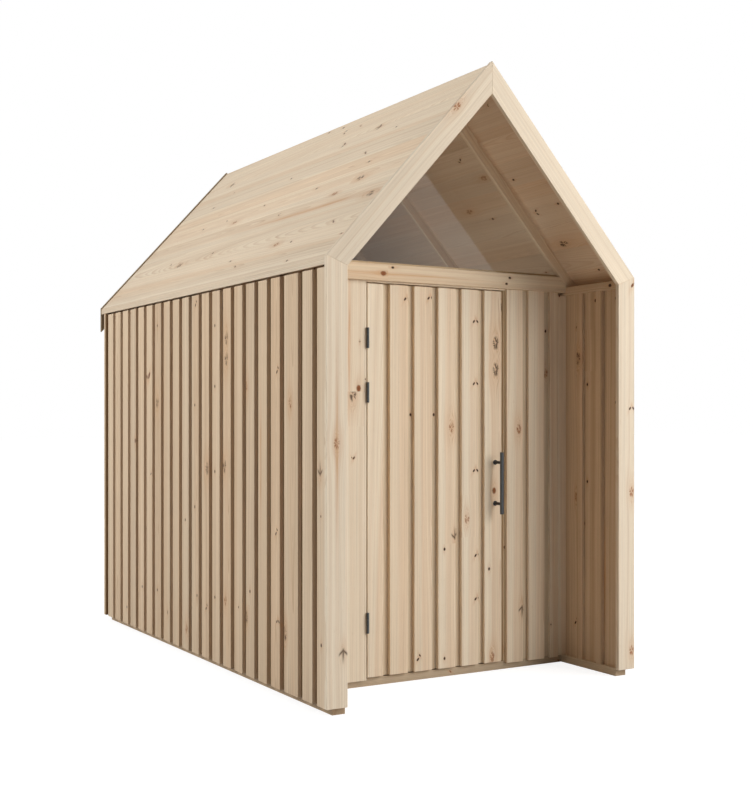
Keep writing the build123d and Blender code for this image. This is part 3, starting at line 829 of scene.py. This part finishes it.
def side_wall(side, name, node):
    """Cover boards over a second layer: a ripped one in front, then a plain, a wide and plain ones."""
    outer = side * HALF_WIDTH
    middle = side * (HALF_WIDTH - BOARD_THICKNESS)
    inner = side * (HALF_WIDTH - 2 * BOARD_THICKNESS)
    seen = LEFT_WALL_KNOTS if side < 0 else {}
    marks = marks_at(seen, lambda behind, height: Vector((outer, FRONT + behind, height)))
    density = SIDE_KNOTS_LISTED if marks else SIDE_KNOTS
    piece = Piece(name, SHADED_SIDING, "cladding_wood", marks)
    backing = Piece(name + "_backing", SHADED_SIDE_BACKING, "cladding_wood", marks)
    low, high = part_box(node)
    covers = [(low.y, low.y + FIRST_BOARD)]
    for width in (SIDE_BOARD_WIDTH, WIDE_BOARD):
        left = covers[-1][1] + SIDE_BOARD_GAP
        covers.append((left, left + width))
    covers += cover_run(covers[-1][1] + SIDE_BOARD_GAP, high.y, SIDE_BOARD_WIDTH, SIDE_BOARD_GAP)
    face = "-x" if side < 0 else "+x"
    for left, right in covers:
        play = side * rng.uniform(0, BOARD_PLAY)
        seen_corner = (outer - play, left, low.z)
        timber_between(piece, seen_corner, (middle, right, high.z), "z", face, density=density)
    for left, right in backing_run(covers, (low.y, high.y)):
        timber_between(backing, (middle, left, low.z), (inner, right, high.z), "z", face, density=density)
    piece.finish("shed", node)
    backing.finish("shed")


def rear_wall():
    """Cover boards with even gaps, cut to the gable under the roof."""
    piece = Piece("rear_wall_boards", SHADED_SIDING, "cladding_wood")
    backing = Piece("rear_wall_boards_backing", SHADED_SIDE_BACKING, "cladding_wood")
    low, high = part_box("rear_cladding")
    bays = round((2 * HALF_WIDTH - BOARD_WIDTH) / (BOARD_WIDTH + BOARD_GAP))
    gap = (2 * HALF_WIDTH - BOARD_WIDTH) / bays - BOARD_WIDTH
    covers = cover_run(-HALF_WIDTH, HALF_WIDTH, gap=gap)
    roof_cuts = under_roof(DECK_UNDERSIDE)
    middle = high.y - BOARD_THICKNESS
    for left, right in covers:
        play = rng.uniform(0, BOARD_PLAY)
        board_low = (left, middle, low.z)
        board_high = (right, high.y - play, RIDGE)
        timber_between(piece, board_low, board_high, "z", "+y", cuts=roof_cuts)
    for left, right in backing_run(covers, (-HALF_WIDTH, HALF_WIDTH)):
        timber_between(backing, (left, low.y, low.z), (right, middle, RIDGE), "z", "+y", cuts=roof_cuts)
    piece.finish("shed", "rear_cladding")
    backing.finish("shed")


def front_wall():
    """Fixed boards beside the door, and the boards of the door itself."""
    casing_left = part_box("door_casing")[0].x
    door_low, door_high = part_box("door_boards")
    left_low, left_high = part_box("front_cladding_left")
    right_low, right_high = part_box("front_cladding_right")
    sill_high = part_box("front_sill")[1]
    plate_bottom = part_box("left_top_plate")[0].z
    face_y = left_low.y
    seat_y = face_y + BOARD_THICKNESS
    back_y = left_high.y
    inside = sill_high.x
    first_right = door_low.x + FIRST_DOOR_BOARD
    last_right = door_high.x - DOOR_EDGE_LAP
    door_covers = [(door_low.x, first_right)] + cover_run(first_right + BOARD_GAP, last_right)
    marks = marks_at(FRONT_WALL_KNOTS, lambda across, height: Vector((across, face_y, height)))

    # Boards over the side walls' sills and under their plates stop short of them
    def fixed(piece, backing, covers, back_run, pith):
        for left, right in covers:
            play = rng.uniform(0, BOARD_PLAY)
            within = max(abs(left), abs(right)) <= inside + 0.001
            bottom = left_low.z if within else sill_high.z
            top = left_high.z if within else plate_bottom
            board_low = (left, face_y + play, bottom)
            timber_between(piece, board_low, (right, seat_y, top), "z", "-y", density=LISTED_KNOTS, pith=pith)
        for left, right in back_run:
            low = (left, seat_y, sill_high.z)
            timber_between(backing, low, (right, back_y, left_high.z), "z", "-y", density=BACKING_KNOTS)

    left_piece = Piece("front_wall_boards_left", CLADDING, "cladding_wood", marks)
    left_backing = Piece("front_wall_backing_left", BACKING, "cladding_wood", marks)
    mirrored = cover_run(-casing_left, -left_low.x)
    covers = [(-right, -left) for left, right in mirrored]
    fixed(left_piece, left_backing, covers, [(-inside, left_high.x)], DENSE_GRAIN)
    left_piece.finish("shed", "front_cladding_left")
    left_backing.finish("shed")

    right_piece = Piece("front_wall_boards_right", CLADDING, "cladding_wood", marks)
    right_backing = Piece("front_wall_backing_right", BACKING, "cladding_wood", marks)
    first = door_covers[-1][1] + BOARD_GAP
    strip = right_high.x - CORNER_STRIP
    covers = cover_run(first, strip - CORNER_JOINT) + [(strip, right_high.x)]
    fixed(right_piece, right_backing, covers, [(right_low.x, inside)], SAP_AT_LEFT)
    right_piece.finish("shed", "front_cladding_right")
    right_backing.finish("shed")

    door_piece = Piece("door_leaf_boards", CLADDING, "door_wood", marks)
    door_backing = Piece("door_leaf_backing", BACKING, "door_wood", marks)
    for left, right in door_covers:
        play = rng.uniform(0, BOARD_PLAY)
        low = (left, face_y + play, door_low.z)
        high = (right, seat_y, door_high.z)
        timber_between(door_piece, low, high, "z", "-y", density=LISTED_KNOTS, pith=SAP_AT_LEFT)
    for left, right in backing_run(door_covers, (door_low.x, door_high.x)):
        low = (left, seat_y, door_low.z)
        timber_between(door_backing, low, (right, back_y, door_high.z), "z", "-y", density=BACKING_KNOTS)
    door_piece.finish("door", "door_boards")
    door_backing.finish("door")


def door_back():
    """Ledges and braces on the back of the door."""
    piece = Piece("door_ledge_timbers", FRAME_WOOD, "door_wood")
    ledge_low, ledge_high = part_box("door_ledges")
    step = (ledge_high.z - ledge_low.z - BOARD_WIDTH) / 2
    bottoms = [ledge_low.z + step * index for index in range(3)]
    for bottom in bottoms:
        low = (ledge_low.x, ledge_low.y, bottom)
        high = (ledge_high.x, ledge_high.y, bottom + BOARD_WIDTH)
        timber_between(piece, low, high, "x", "+y")
    thickness = ledge_high.y - ledge_low.y
    for bottom, following in zip(bottoms, bottoms[1:]):
        foot = Vector((ledge_low.x + BOARD_WIDTH / 2, ledge_high.y, bottom + BOARD_WIDTH))
        head = Vector((ledge_high.x - BOARD_WIDTH / 2, ledge_high.y, following))
        along = (head - foot).normalized()
        across = along.cross(-Y)
        run = (head - foot).length
        width = BOARD_WIDTH * abs(along.z)
        start = foot - along * BOARD_WIDTH
        cuts = [(foot, -Z), (head, Z)]
        place = placed(start, along, -across)
        piece.board(place, (run + 2 * BOARD_WIDTH, width, thickness), cuts=cuts)
    piece.finish("door", "door_ledges", "door_braces")


def door_surround():
    """Posts and stops around the door, and the slim casing that shows beside and over it."""
    posts = Piece("door_frame_timbers", FRAME_WOOD, "frame_wood")
    low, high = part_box("door_posts")
    timber_between(posts, low, (low.x + FRAME_THICKNESS, high.y, high.z), "z", "-y")
    timber_between(posts, (high.x - FRAME_THICKNESS, low.y, low.z), high, "z", "-y")
    stop_low, stop_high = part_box("door_stops")
    timber_between(posts, stop_low, (stop_low.x + STOP_WIDTH, stop_high.y, stop_high.z), "z", "-y")
    timber_between(posts, (stop_high.x - STOP_WIDTH, stop_low.y, stop_low.z), stop_high, "z", "-y")
    head_low = (stop_low.x + STOP_WIDTH, stop_low.y, stop_high.z - STOP_WIDTH)
    timber_between(posts, head_low, (stop_high.x - STOP_WIDTH, stop_high.y, stop_high.z), "x", "-y")
    posts.finish("shed", "door_posts", "door_stops")

    casing = Piece("door_casing_strips", CLADDING, "cladding_wood")
    node_timber(casing, "door_casing", "z", "-y", density=SLIM_KNOTS)
    node_timber(casing, "door_head_lining", "x", "-z", density=BACKING_KNOTS)
    casing.finish("shed", "door_casing", "door_head_lining")


def porch_sides():
    """Three wide lining boards on each side of the porch, with two battens over their joints."""
    for side, name in ((-1, "left_porch"), (1, "right_porch")):
        node = name + "_lining"
        low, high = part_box(node)
        inner = side * min(abs(low.x), abs(high.x))
        outer = side * max(abs(low.x), abs(high.x))
        seat = inner + side * LINING_RECESS
        seen = WING_KNOTS if side > 0 else {}
        marks = marks_at(seen, lambda behind, height: Vector((seat, FRONT + behind, height)))
        options = {"density": LISTED_KNOTS if marks else 1.0, "pith": STRAIGHT_GRAIN}
        piece = Piece(name + "_boards", SHADED_LINING, "cladding_wood", marks)
        face = "-x" if side > 0 else "+x"
        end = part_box("left_cladding")[0].y + (high.y - low.y)
        bay = (end - BOARD_THICKNESS - low.y - 2 * BATTEN_WIDTH) / 3
        for index in (1, 2):
            far = low.y + index * (bay + BATTEN_WIDTH)
            near_corner = (inner, far - BATTEN_WIDTH, low.z)
            timber_between(piece, near_corner, (seat, far, high.z), "z", face, **options)
        width = (high.y - low.y) / 3
        for index in range(3):
            near_corner = (seat, low.y + width * index, low.z)
            far_corner = (outer, low.y + width * (index + 1), high.z)
            timber_between(piece, near_corner, far_corner, "z", face, arris=SEAM_ARRIS, **options)
        piece.finish("shed", node)


# Base, frame and roof


def base_timbers():
    """The sills under all four walls."""
    piece = Piece("sill_timbers", BASE, "frame_wood")
    sills = {"left_sill": ("y", "-x"), "right_sill": ("y", "+x"), "front_sill": ("x", "-y")}
    sills["rear_sill"] = ("x", "+y")
    for node, (along, face) in sills.items():
        node_timber(piece, node, along, face)
    piece.finish("shed", *sills)


def spread(first, last, count):
    """Evenly spaced values, both ends among them."""
    step = (last - first) / (count - 1)
    return [first + step * index for index in range(count)]


def side_frame(piece, side, name):
    """Studs and noggins of one side wall, deep in the room and shallow behind the porch lining."""
    face = "+x" if side < 0 else "-x"
    stud_low, stud_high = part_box(name + "_wall_studs")
    noggin_low, noggin_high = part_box(name + "_wall_noggins")
    first = noggin_low.y - FRAME_THICKNESS
    starts = spread(first, stud_high.y - FRAME_THICKNESS, 5)
    for start in starts:
        low = (stud_low.x, start, stud_low.z)
        timber_between(piece, low, (stud_high.x, start + FRAME_THICKNESS, stud_high.z), "z", face)
    for start, following in zip(starts, starts[1:]):
        low = (stud_low.x, start + FRAME_THICKNESS, noggin_low.z)
        timber_between(piece, low, (stud_high.x, following, noggin_high.z), "y", face)
    lining_back = side * max(abs(corner.x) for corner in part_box(name + "_porch_lining"))
    stud_back = side * max(abs(stud_low.x), abs(stud_high.x))
    for start in spread(stud_low.y, first - FRAME_THICKNESS, 3):
        near_corner = (lining_back, start, stud_low.z)
        timber_between(piece, near_corner, (stud_back, start + FRAME_THICKNESS, stud_high.z), "z", face)


def wall_frame():
    """Studs, noggins and ties inside the room, and the plates on top of the side walls."""
    piece = Piece("wall_frame_timbers", FRAME_WOOD, "frame_wood")
    side_frame(piece, -1, "left")
    side_frame(piece, 1, "right")
    low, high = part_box("rear_wall_studs")
    noggin_low, noggin_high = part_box("rear_wall_noggins")
    starts = spread(low.x, high.x - FRAME_THICKNESS, 4)
    for start in starts:
        timber_between(piece, (start, low.y, low.z), (start + FRAME_THICKNESS, high.y, high.z), "z", "-y")
    for start, following in zip(starts, starts[1:]):
        noggin_start = (start + FRAME_THICKNESS, low.y, noggin_low.z)
        timber_between(piece, noggin_start, (following, high.y, noggin_high.z), "x", "-y")
    node_timber(piece, "rear_tie", "x", "-y", cuts=under_roof(RAFTER_UNDERSIDE))
    node_timber(piece, "rear_king_stud", "z", "-y", cuts=under_roof(RAFTER_UNDERSIDE))
    nodes = ["rear_wall_studs", "rear_wall_noggins", "rear_tie", "rear_king_stud"]
    for name in ("left", "right"):
        nodes += [name + "_wall_studs", name + "_wall_noggins"]
    piece.finish("shed", *nodes)

    # The plates take the darker lining wood: painted shade, so they show no lighter than the lining in the
    # porch
    plates = Piece("top_plate_timbers", SHADED_LINING, "frame_wood")
    node_timber(plates, "left_top_plate", "y", "+x", density=SLIM_KNOTS)
    node_timber(plates, "right_top_plate", "y", "-x", density=SLIM_KNOTS)
    plates.finish("shed", "left_top_plate", "right_top_plate")


def header():
    """The beam across the front wall, over the door."""
    face_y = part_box("header_beam")[0].y
    marks = marks_at(BEAM_KNOTS, lambda across, height: Vector((across, face_y, height)))
    piece = Piece("header_beam_timber", BEAM, "frame_wood", marks)
    cuts = under_roof(RAFTER_UNDERSIDE)
    node_timber(piece, "header_beam", "x", "-y", cuts=cuts, density=0.0, pith=DENSE_GRAIN)
    piece.finish("shed", "header_beam")


def rafters():
    """Three rafter pairs from the header beam back, and one at the rear wall."""
    piece = Piece("rafter_timbers", BEAM, "frame_wood")
    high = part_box("right_rafters")[1]
    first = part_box("header_beam")[0].y
    starts = [first + RAFTER_SPACING * index for index in range(3)] + [high.y - RAFTER_THICKNESS]
    run = high.x / math.cos(PITCH) + RAFTER_DEPTH
    seat = (Vector((0, 0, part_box("left_top_plate")[1].z)), -Z)
    for side in (-1, 1):
        along = down_slope(side)
        cuts = (plumb_cut(side, high.x), seat, plumb_cut(-side))
        across = turned_to(along, out_of_roof(side), Y)
        for start in starts:
            origin = roof_point(DECK_UNDERSIDE + RAFTER_DEPTH / 2, -RAFTER_DEPTH, side, start)
            place = placed(origin, along, across)
            size = (run + RAFTER_DEPTH, RAFTER_DEPTH, RAFTER_THICKNESS)
            piece.board(place, size, cuts, density=RAFTER_KNOTS)
    piece.finish("shed", "left_rafters", "right_rafters")


def roof():
    """Boards along the roof, laid from the ridge down, with the first and the last ripped."""
    length = HALF_WIDTH / math.cos(PITCH)
    for side, name in ((-1, "left"), (1, "right")):
        node = name + "_roof_deck"
        seen = ROOF_KNOTS if side < 0 else CEILING_KNOTS
        layer = ROOF_LIP if side < 0 else DECK_UNDERSIDE
        marks = marks_at(seen, lambda behind, down: roof_point(layer, down, side, FRONT + behind))
        piece = Piece(name + "_roof_boards", ROOF, "roof_wood", marks)
        low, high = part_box(node)
        cuts = (plumb_cut(side, HALF_WIDTH), plumb_cut(-side))
        across = turned_to(Y, down_slope(side), -out_of_roof(side))
        start = -0.5 * ROOF_BOARD
        while start < length:
            origin = roof_point(ROOF_LIP, start + ROOF_BOARD / 2, side, low.y)
            size = (high.y - low.y, ROOF_BOARD, DECK_THICKNESS)
            place = placed(origin, Y, across)
            piece.board(place, size, cuts, DECK_KNOTS, SEAM_ARRIS, sawn_back=True)
            start += ROOF_BOARD
        piece.finish("shed", node)


def sloping_trim(piece, side, y, face, lower_cut):
    """A trim board down the slope, with its outer edge on the roof's outer line."""
    along = down_slope(side)
    origin = roof_point(TRIM_WIDTH / 2, -TRIM_WIDTH, side, y)
    place = placed(origin, along, turned_to(along, out_of_roof(side), Y * face))
    length = HALF_WIDTH / math.cos(PITCH) + 3 * TRIM_WIDTH
    size = (length, TRIM_WIDTH, TRIM_THICKNESS)
    cuts = (plumb_cut(-side), lower_cut)
    piece.board(place, size, cuts, TRIM_KNOTS, pith=DENSE_GRAIN, sawn_back=face < 0)


def portal():
    """Posts and sloping boards around the front, mitred at the eaves and at the ridge."""
    marks = marks_at(PORTAL_KNOTS, lambda across, height: Vector((across, FRONT, height)))
    piece = Piece("portal_boards", TRIM, "trim_wood", marks)
    inner = HALF_WIDTH - TRIM_WIDTH
    outer_height = RIDGE - HALF_WIDTH * SLOPE
    inner_height = RIDGE - TRIM_WIDTH * PLUMB - inner * SLOPE
    for side in (-1, 1):
        outer = Vector((side * HALF_WIDTH, 0, outer_height))
        mitre = outer - Vector((side * inner, 0, inner_height))
        up = mitre.cross(Y)
        if up.z < 0:
            up = -up
        sloping_trim(piece, side, POST_LOW.y, 1, (outer, -up))
        near_corner = (side * inner, POST_LOW.y, POST_LOW.z)
        far_corner = (side * HALF_WIDTH, POST_HIGH.y, POST_HIGH.z)
        options = {"cuts": [(outer, up)], "density": TRIM_KNOTS, "pith": DENSE_GRAIN}
        timber_between(piece, near_corner, far_corner, "z", "-y", **options)
    nodes = [side + part for side in ("left", "right") for part in ("_portal_post", "_portal_slope")]
    piece.finish("shed", *nodes)


def barge_boards():
    """Dark trim boards on the rear gable, whose plumb-cut ends hang below the eaves."""
    piece = Piece("rear_barge_boards", BARGE, "trim_wood")
    for side in (-1, 1):
        sloping_trim(piece, side, REAR, -1, plumb_cut(side, HALF_WIDTH))
    piece.finish("shed", "left_rear_barge_board", "right_rear_barge_board")


def gable():
    """Glass in the front gable and the beads that hold it keep the frame's own meshes."""
    for node, material in (("gable_glass", GLASS), ("gable_glass_beads", FRAME_WOOD)):
        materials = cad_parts[node].data.materials
        materials.clear()
        materials.append(material)


# Metalwork

HINGE_LENGTH = 0.094
HINGE_SPACING = 0.250
BARREL_RADIUS = 0.006
PIN_RADIUS = 0.003
LEAF_THICKNESS = 0.0025
LEAF_CLEARANCE = 0.0005
LEAF_SHOWN = 0.004
FRAME_LEAF = 0.002
ROUNDING = 0.0012


class Metal:
    """One mesh object made of turned and flat pieces of metal."""

    def __init__(self, name, material=METAL):
        self.name = name
        self.material = material
        self.mesh = bmesh.new()

    def turned(self, origin, axis, profile, segments=40):
        """Revolves (radius, height) points about an axis through the origin."""
        place = axis.to_track_quat("Z", "Y").to_matrix().to_4x4()
        place.translation = origin
        rows = []
        for radius, height in profile:
            turns = [2 * math.pi * index / segments for index in range(segments)]
            points = [Vector((radius * math.cos(turn), radius * math.sin(turn), height)) for turn in turns]
            rows.append([self.mesh.verts.new(place @ point) for point in points])
        for lower, upper in zip(rows, rows[1:]):
            for index in range(segments):
                after = (index + 1) % segments
                self.mesh.faces.new((lower[index], lower[after], upper[after], upper[index]))
        self.mesh.faces.new(list(reversed(rows[0])))
        self.mesh.faces.new(rows[-1])

    def rod(self, origin, axis, radius, length, rounding=ROUNDING):
        """A round bar with rounded ends, from the origin along the axis."""
        steps = [math.radians(90) * index / 4 for index in range(5)]
        low = [(radius - rounding * (1 - math.sin(turn)), rounding * (1 - math.cos(turn))) for turn in steps]
        high = [(reach, length - height) for reach, height in reversed(low)]
        self.turned(origin, axis, low + high)

    def plate(self, low, high, rounding):
        """A flat leaf between two corners, with rounded edges."""
        low = Vector(low)
        high = Vector(high)
        size = high - low
        block = bmesh.ops.create_cube(self.mesh, size=1)["verts"]
        for vertex in block:
            offset = Vector([part * share for part, share in zip(vertex.co, size)])
            vertex.co = (low + high) / 2 + offset
        edges = {edge for vertex in block for edge in vertex.link_edges}
        bmesh.ops.bevel(self.mesh, geom=list(edges), offset=rounding, segments=3, profile=0.5, affect="EDGES")

    def finish(self, body, slot, node):
        bmesh.ops.recalc_face_normals(self.mesh, faces=self.mesh.faces)
        data = bpy.data.meshes.new(self.name)
        self.mesh.to_mesh(data)
        self.mesh.free()
        data.polygons.foreach_set("use_smooth", [True] * len(data.polygons))
        data.set_sharp_from_angle(angle=math.radians(35))
        dress(self.name, data, self.material, body, [node])


def hinge_bottoms():
    """Lower ends of the three hinges: one near the sill and two near the door's head."""
    low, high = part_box("door_hinge_leaves")
    top = high.z - HINGE_LENGTH
    return (low.z, top - HINGE_SPACING, top)


def hinges():
    """Three butt hinges: two knuckles and the pin on the jamb, one knuckle and a leaf on the door."""
    low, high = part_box("door_hinge_leaves")
    jamb_low, jamb_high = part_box("jamb_hinge_leaves")
    axis = Vector((jamb_low.x + BARREL_RADIUS, jamb_low.y + BARREL_RADIUS, 0))
    third = HINGE_LENGTH / 3
    moving = Metal("door_hinge_plates")
    fixed = Metal("jamb_hinge_knuckles")
    jamb_face = axis.x - PIN_RADIUS
    for bottom in hinge_bottoms():
        top = bottom + HINGE_LENGTH
        knuckle = third - LEAF_CLEARANCE
        fixed.rod(axis + Z * bottom, Z, BARREL_RADIUS, knuckle)
        fixed.rod(axis + Z * (top - knuckle), Z, BARREL_RADIUS, knuckle)
        fixed.rod(axis + Z * bottom, Z, PIN_RADIUS, HINGE_LENGTH, ROUNDING / 2)
        for start in (bottom, top - knuckle):
            leaf_low = (jamb_face, axis.y, start)
            leaf_high = (jamb_face + FRAME_LEAF, jamb_high.y, start + knuckle)
            fixed.plate(leaf_low, leaf_high, ROUNDING / 3)
        back_low = (jamb_face, axis.y + BARREL_RADIUS + LEAF_CLEARANCE, bottom + third / 2)
        fixed.plate(back_low, (jamb_face + FRAME_LEAF, jamb_high.y, top - third / 2), ROUNDING / 3)

        moving.rod(axis + Z * (bottom + third), Z, BARREL_RADIUS, third)
        leaf_left = axis.x + BARREL_RADIUS + LEAF_CLEARANCE
        leaf_front = high.y - LEAF_THICKNESS
        leaf_right = leaf_left + LEAF_SHOWN
        moving.plate((leaf_left, leaf_front, bottom), (leaf_right, high.y, top), ROUNDING * 0.6)
        tongue_low = (axis.x + PIN_RADIUS, leaf_front, bottom + third)
        moving.plate(tongue_low, (leaf_left + ROUNDING, high.y, top - third), ROUNDING * 0.6)
    moving.finish("door", "black_metal", "door_hinge_leaves")
    fixed.finish("shed", "black_metal", "jamb_hinge_leaves")


def handle():
    """A round bar on two standoffs, each with a collar at the bar and a rose against the door."""
    low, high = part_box("handle_bar")
    radius = (high.x - low.x) / 2
    middle = Vector((low.x + radius, low.y + radius, low.z))
    bar = Metal("handle_round_bar")
    bar.rod(middle, Z, radius, high.z - low.z, ROUNDING)
    bar.finish("door", "black_metal", "handle_bar")

    stand_low, stand_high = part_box("handle_standoffs")
    rose = (stand_high.x - stand_low.x) / 2
    stem = rose * 7 / 12
    reach = stand_high.y - middle.y
    start = math.sqrt(radius**2 - stem**2)
    profile = (
        (stem, start),
        (stem, reach - 0.009),
        (stem + 0.0006, reach - 0.006),
        (stem + 0.0022, reach - 0.0045),
        (rose - 0.001, reach - 0.004),
        (rose, reach - 0.003),
        (rose, reach),
    )
    standoffs = Metal("handle_stems", DARK_METAL)
    for height in (stand_low.z + rose, stand_high.z - rose):
        origin = Vector((middle.x, middle.y, height))
        standoffs.turned(origin, Y, profile)
    standoffs.finish("door", "black_metal", "handle_standoffs")


# Camera, light and ground


def camera():
    """The photograph's view: level, turned to the right, from the height of the eye."""
    data = bpy.data.cameras.new("view")
    data.sensor_width = 36
    data.lens = LENS
    data.shift_y = LENS_SHIFT
    data.clip_end = 200
    made = bpy.data.objects.new("view", data)
    made.location = (EYE_LEFT, FRONT - EYE_BEFORE, EYE_HEIGHT)
    made.rotation_euler = (math.radians(90), 0, math.radians(EYE_TURN))
    bpy.context.scene.collection.objects.link(made)
    bpy.context.scene.camera = made


def softbox(name, azimuth, elevation, distance, size, watts):
    """A square lamp that faces the middle of the shed; azimuth 0 stands in front of it."""
    target = Vector((0, 0, AIM_HEIGHT))
    turn = math.radians(azimuth)
    lift = math.radians(elevation)
    away = Vector((math.sin(turn) * math.cos(lift), -math.cos(turn) * math.cos(lift), math.sin(lift)))
    data = bpy.data.lights.new(name, "AREA")
    data.shape = "SQUARE"
    data.size = size
    data.energy = watts
    made = bpy.data.objects.new(name, data)
    made.location = target + away * distance
    made.rotation_euler = (-away).to_track_quat("-Z", "Y").to_euler()
    for kind in ("camera", "glossy", "transmission"):
        setattr(made, "visible_" + kind, False)
    bpy.context.scene.collection.objects.link(made)
    return made


def room_glow():
    """A soft lamp in the closed room, near its front, which lights the ceiling behind the glass."""
    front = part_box("front_sill")[1].y
    made = softbox("room_glow", 0, 0, 1.0, ROOM_LAMP_SIZE, ROOM_WATTS)
    made.location = (0, front + ROOM_LAMP_BEHIND, ROOM_LAMP_HEIGHT)
    made.rotation_euler = (math.radians(180), 0, 0)


def white_world():
    """White where it is seen directly, and faint as a source of light."""
    world = bpy.data.worlds.new("studio")
    bpy.context.scene.world = world
    g = Graph(world)
    strength = g.step(g.seen_directly(), 0.0, 1.0, AMBIENT, 1.0)
    background = g.node("ShaderNodeBackground", {0: (1, 1, 1, 1), 1: strength})
    g.output(background.outputs[0], "World")


def pale_ground():
    """A plain floor that takes the shed's shadow and fades to white with distance."""
    g = material_graph("pale_ground")
    plain = g.node("ShaderNodeBsdfDiffuse", {0: (0.6, 0.6, 0.6, 1.0)})
    pale = g.node("ShaderNodeBsdfDiffuse", {0: (0.30, 0.30, 0.30, 1.0)})
    place = g.node("ShaderNodeTexCoord").outputs["Object"]
    distance = g.node("ShaderNodeVectorMath", {0: place}, operation="LENGTH").outputs["Value"]
    brightness = g.step(distance, GLOW_NEAR, GLOW_FAR, GROUND_GLOW, 1.0)
    glow = g.node("ShaderNodeEmission", {0: (1, 1, 1, 1), 1: brightness})
    shown = g.node("ShaderNodeAddShader", {0: pale.outputs[0], 1: glow.outputs[0]})
    sockets = {0: g.seen_directly(), 1: plain.outputs[0], 2: shown.outputs[0]}
    material = g.output(g.node("ShaderNodeMixShader", sockets).outputs[0])
    bpy.ops.mesh.primitive_plane_add(size=GROUND_SIZE, location=(0, 0, -GROUND_DROP))
    ground = bpy.context.object
    ground.name = "ground"
    ground.data.materials.append(material)


bpy.context.scene.view_settings.view_transform = "Standard"
camera()
softbox("key", azimuth=38, elevation=22, distance=9.0, size=7.0, watts=KEY_WATTS)
softbox("left_fill", azimuth=-97, elevation=20, distance=7.5, size=4.0, watts=LEFT_WATTS)
softbox("top", azimuth=-60, elevation=80, distance=8.0, size=5.0, watts=TOP_WATTS)
softbox("rear_fill", azimuth=150, elevation=20, distance=8.0, size=6.0, watts=REAR_WATTS)
room_glow()
white_world()
pale_ground()

side_wall(-1, "left_wall_boards", "left_cladding")
side_wall(1, "right_wall_boards", "right_cladding")
rear_wall()
front_wall()
door_back()
door_surround()
porch_sides()
base_timbers()
wall_frame()
header()
rafters()
roof()
portal()
barge_boards()
gable()
hinges()
handle()
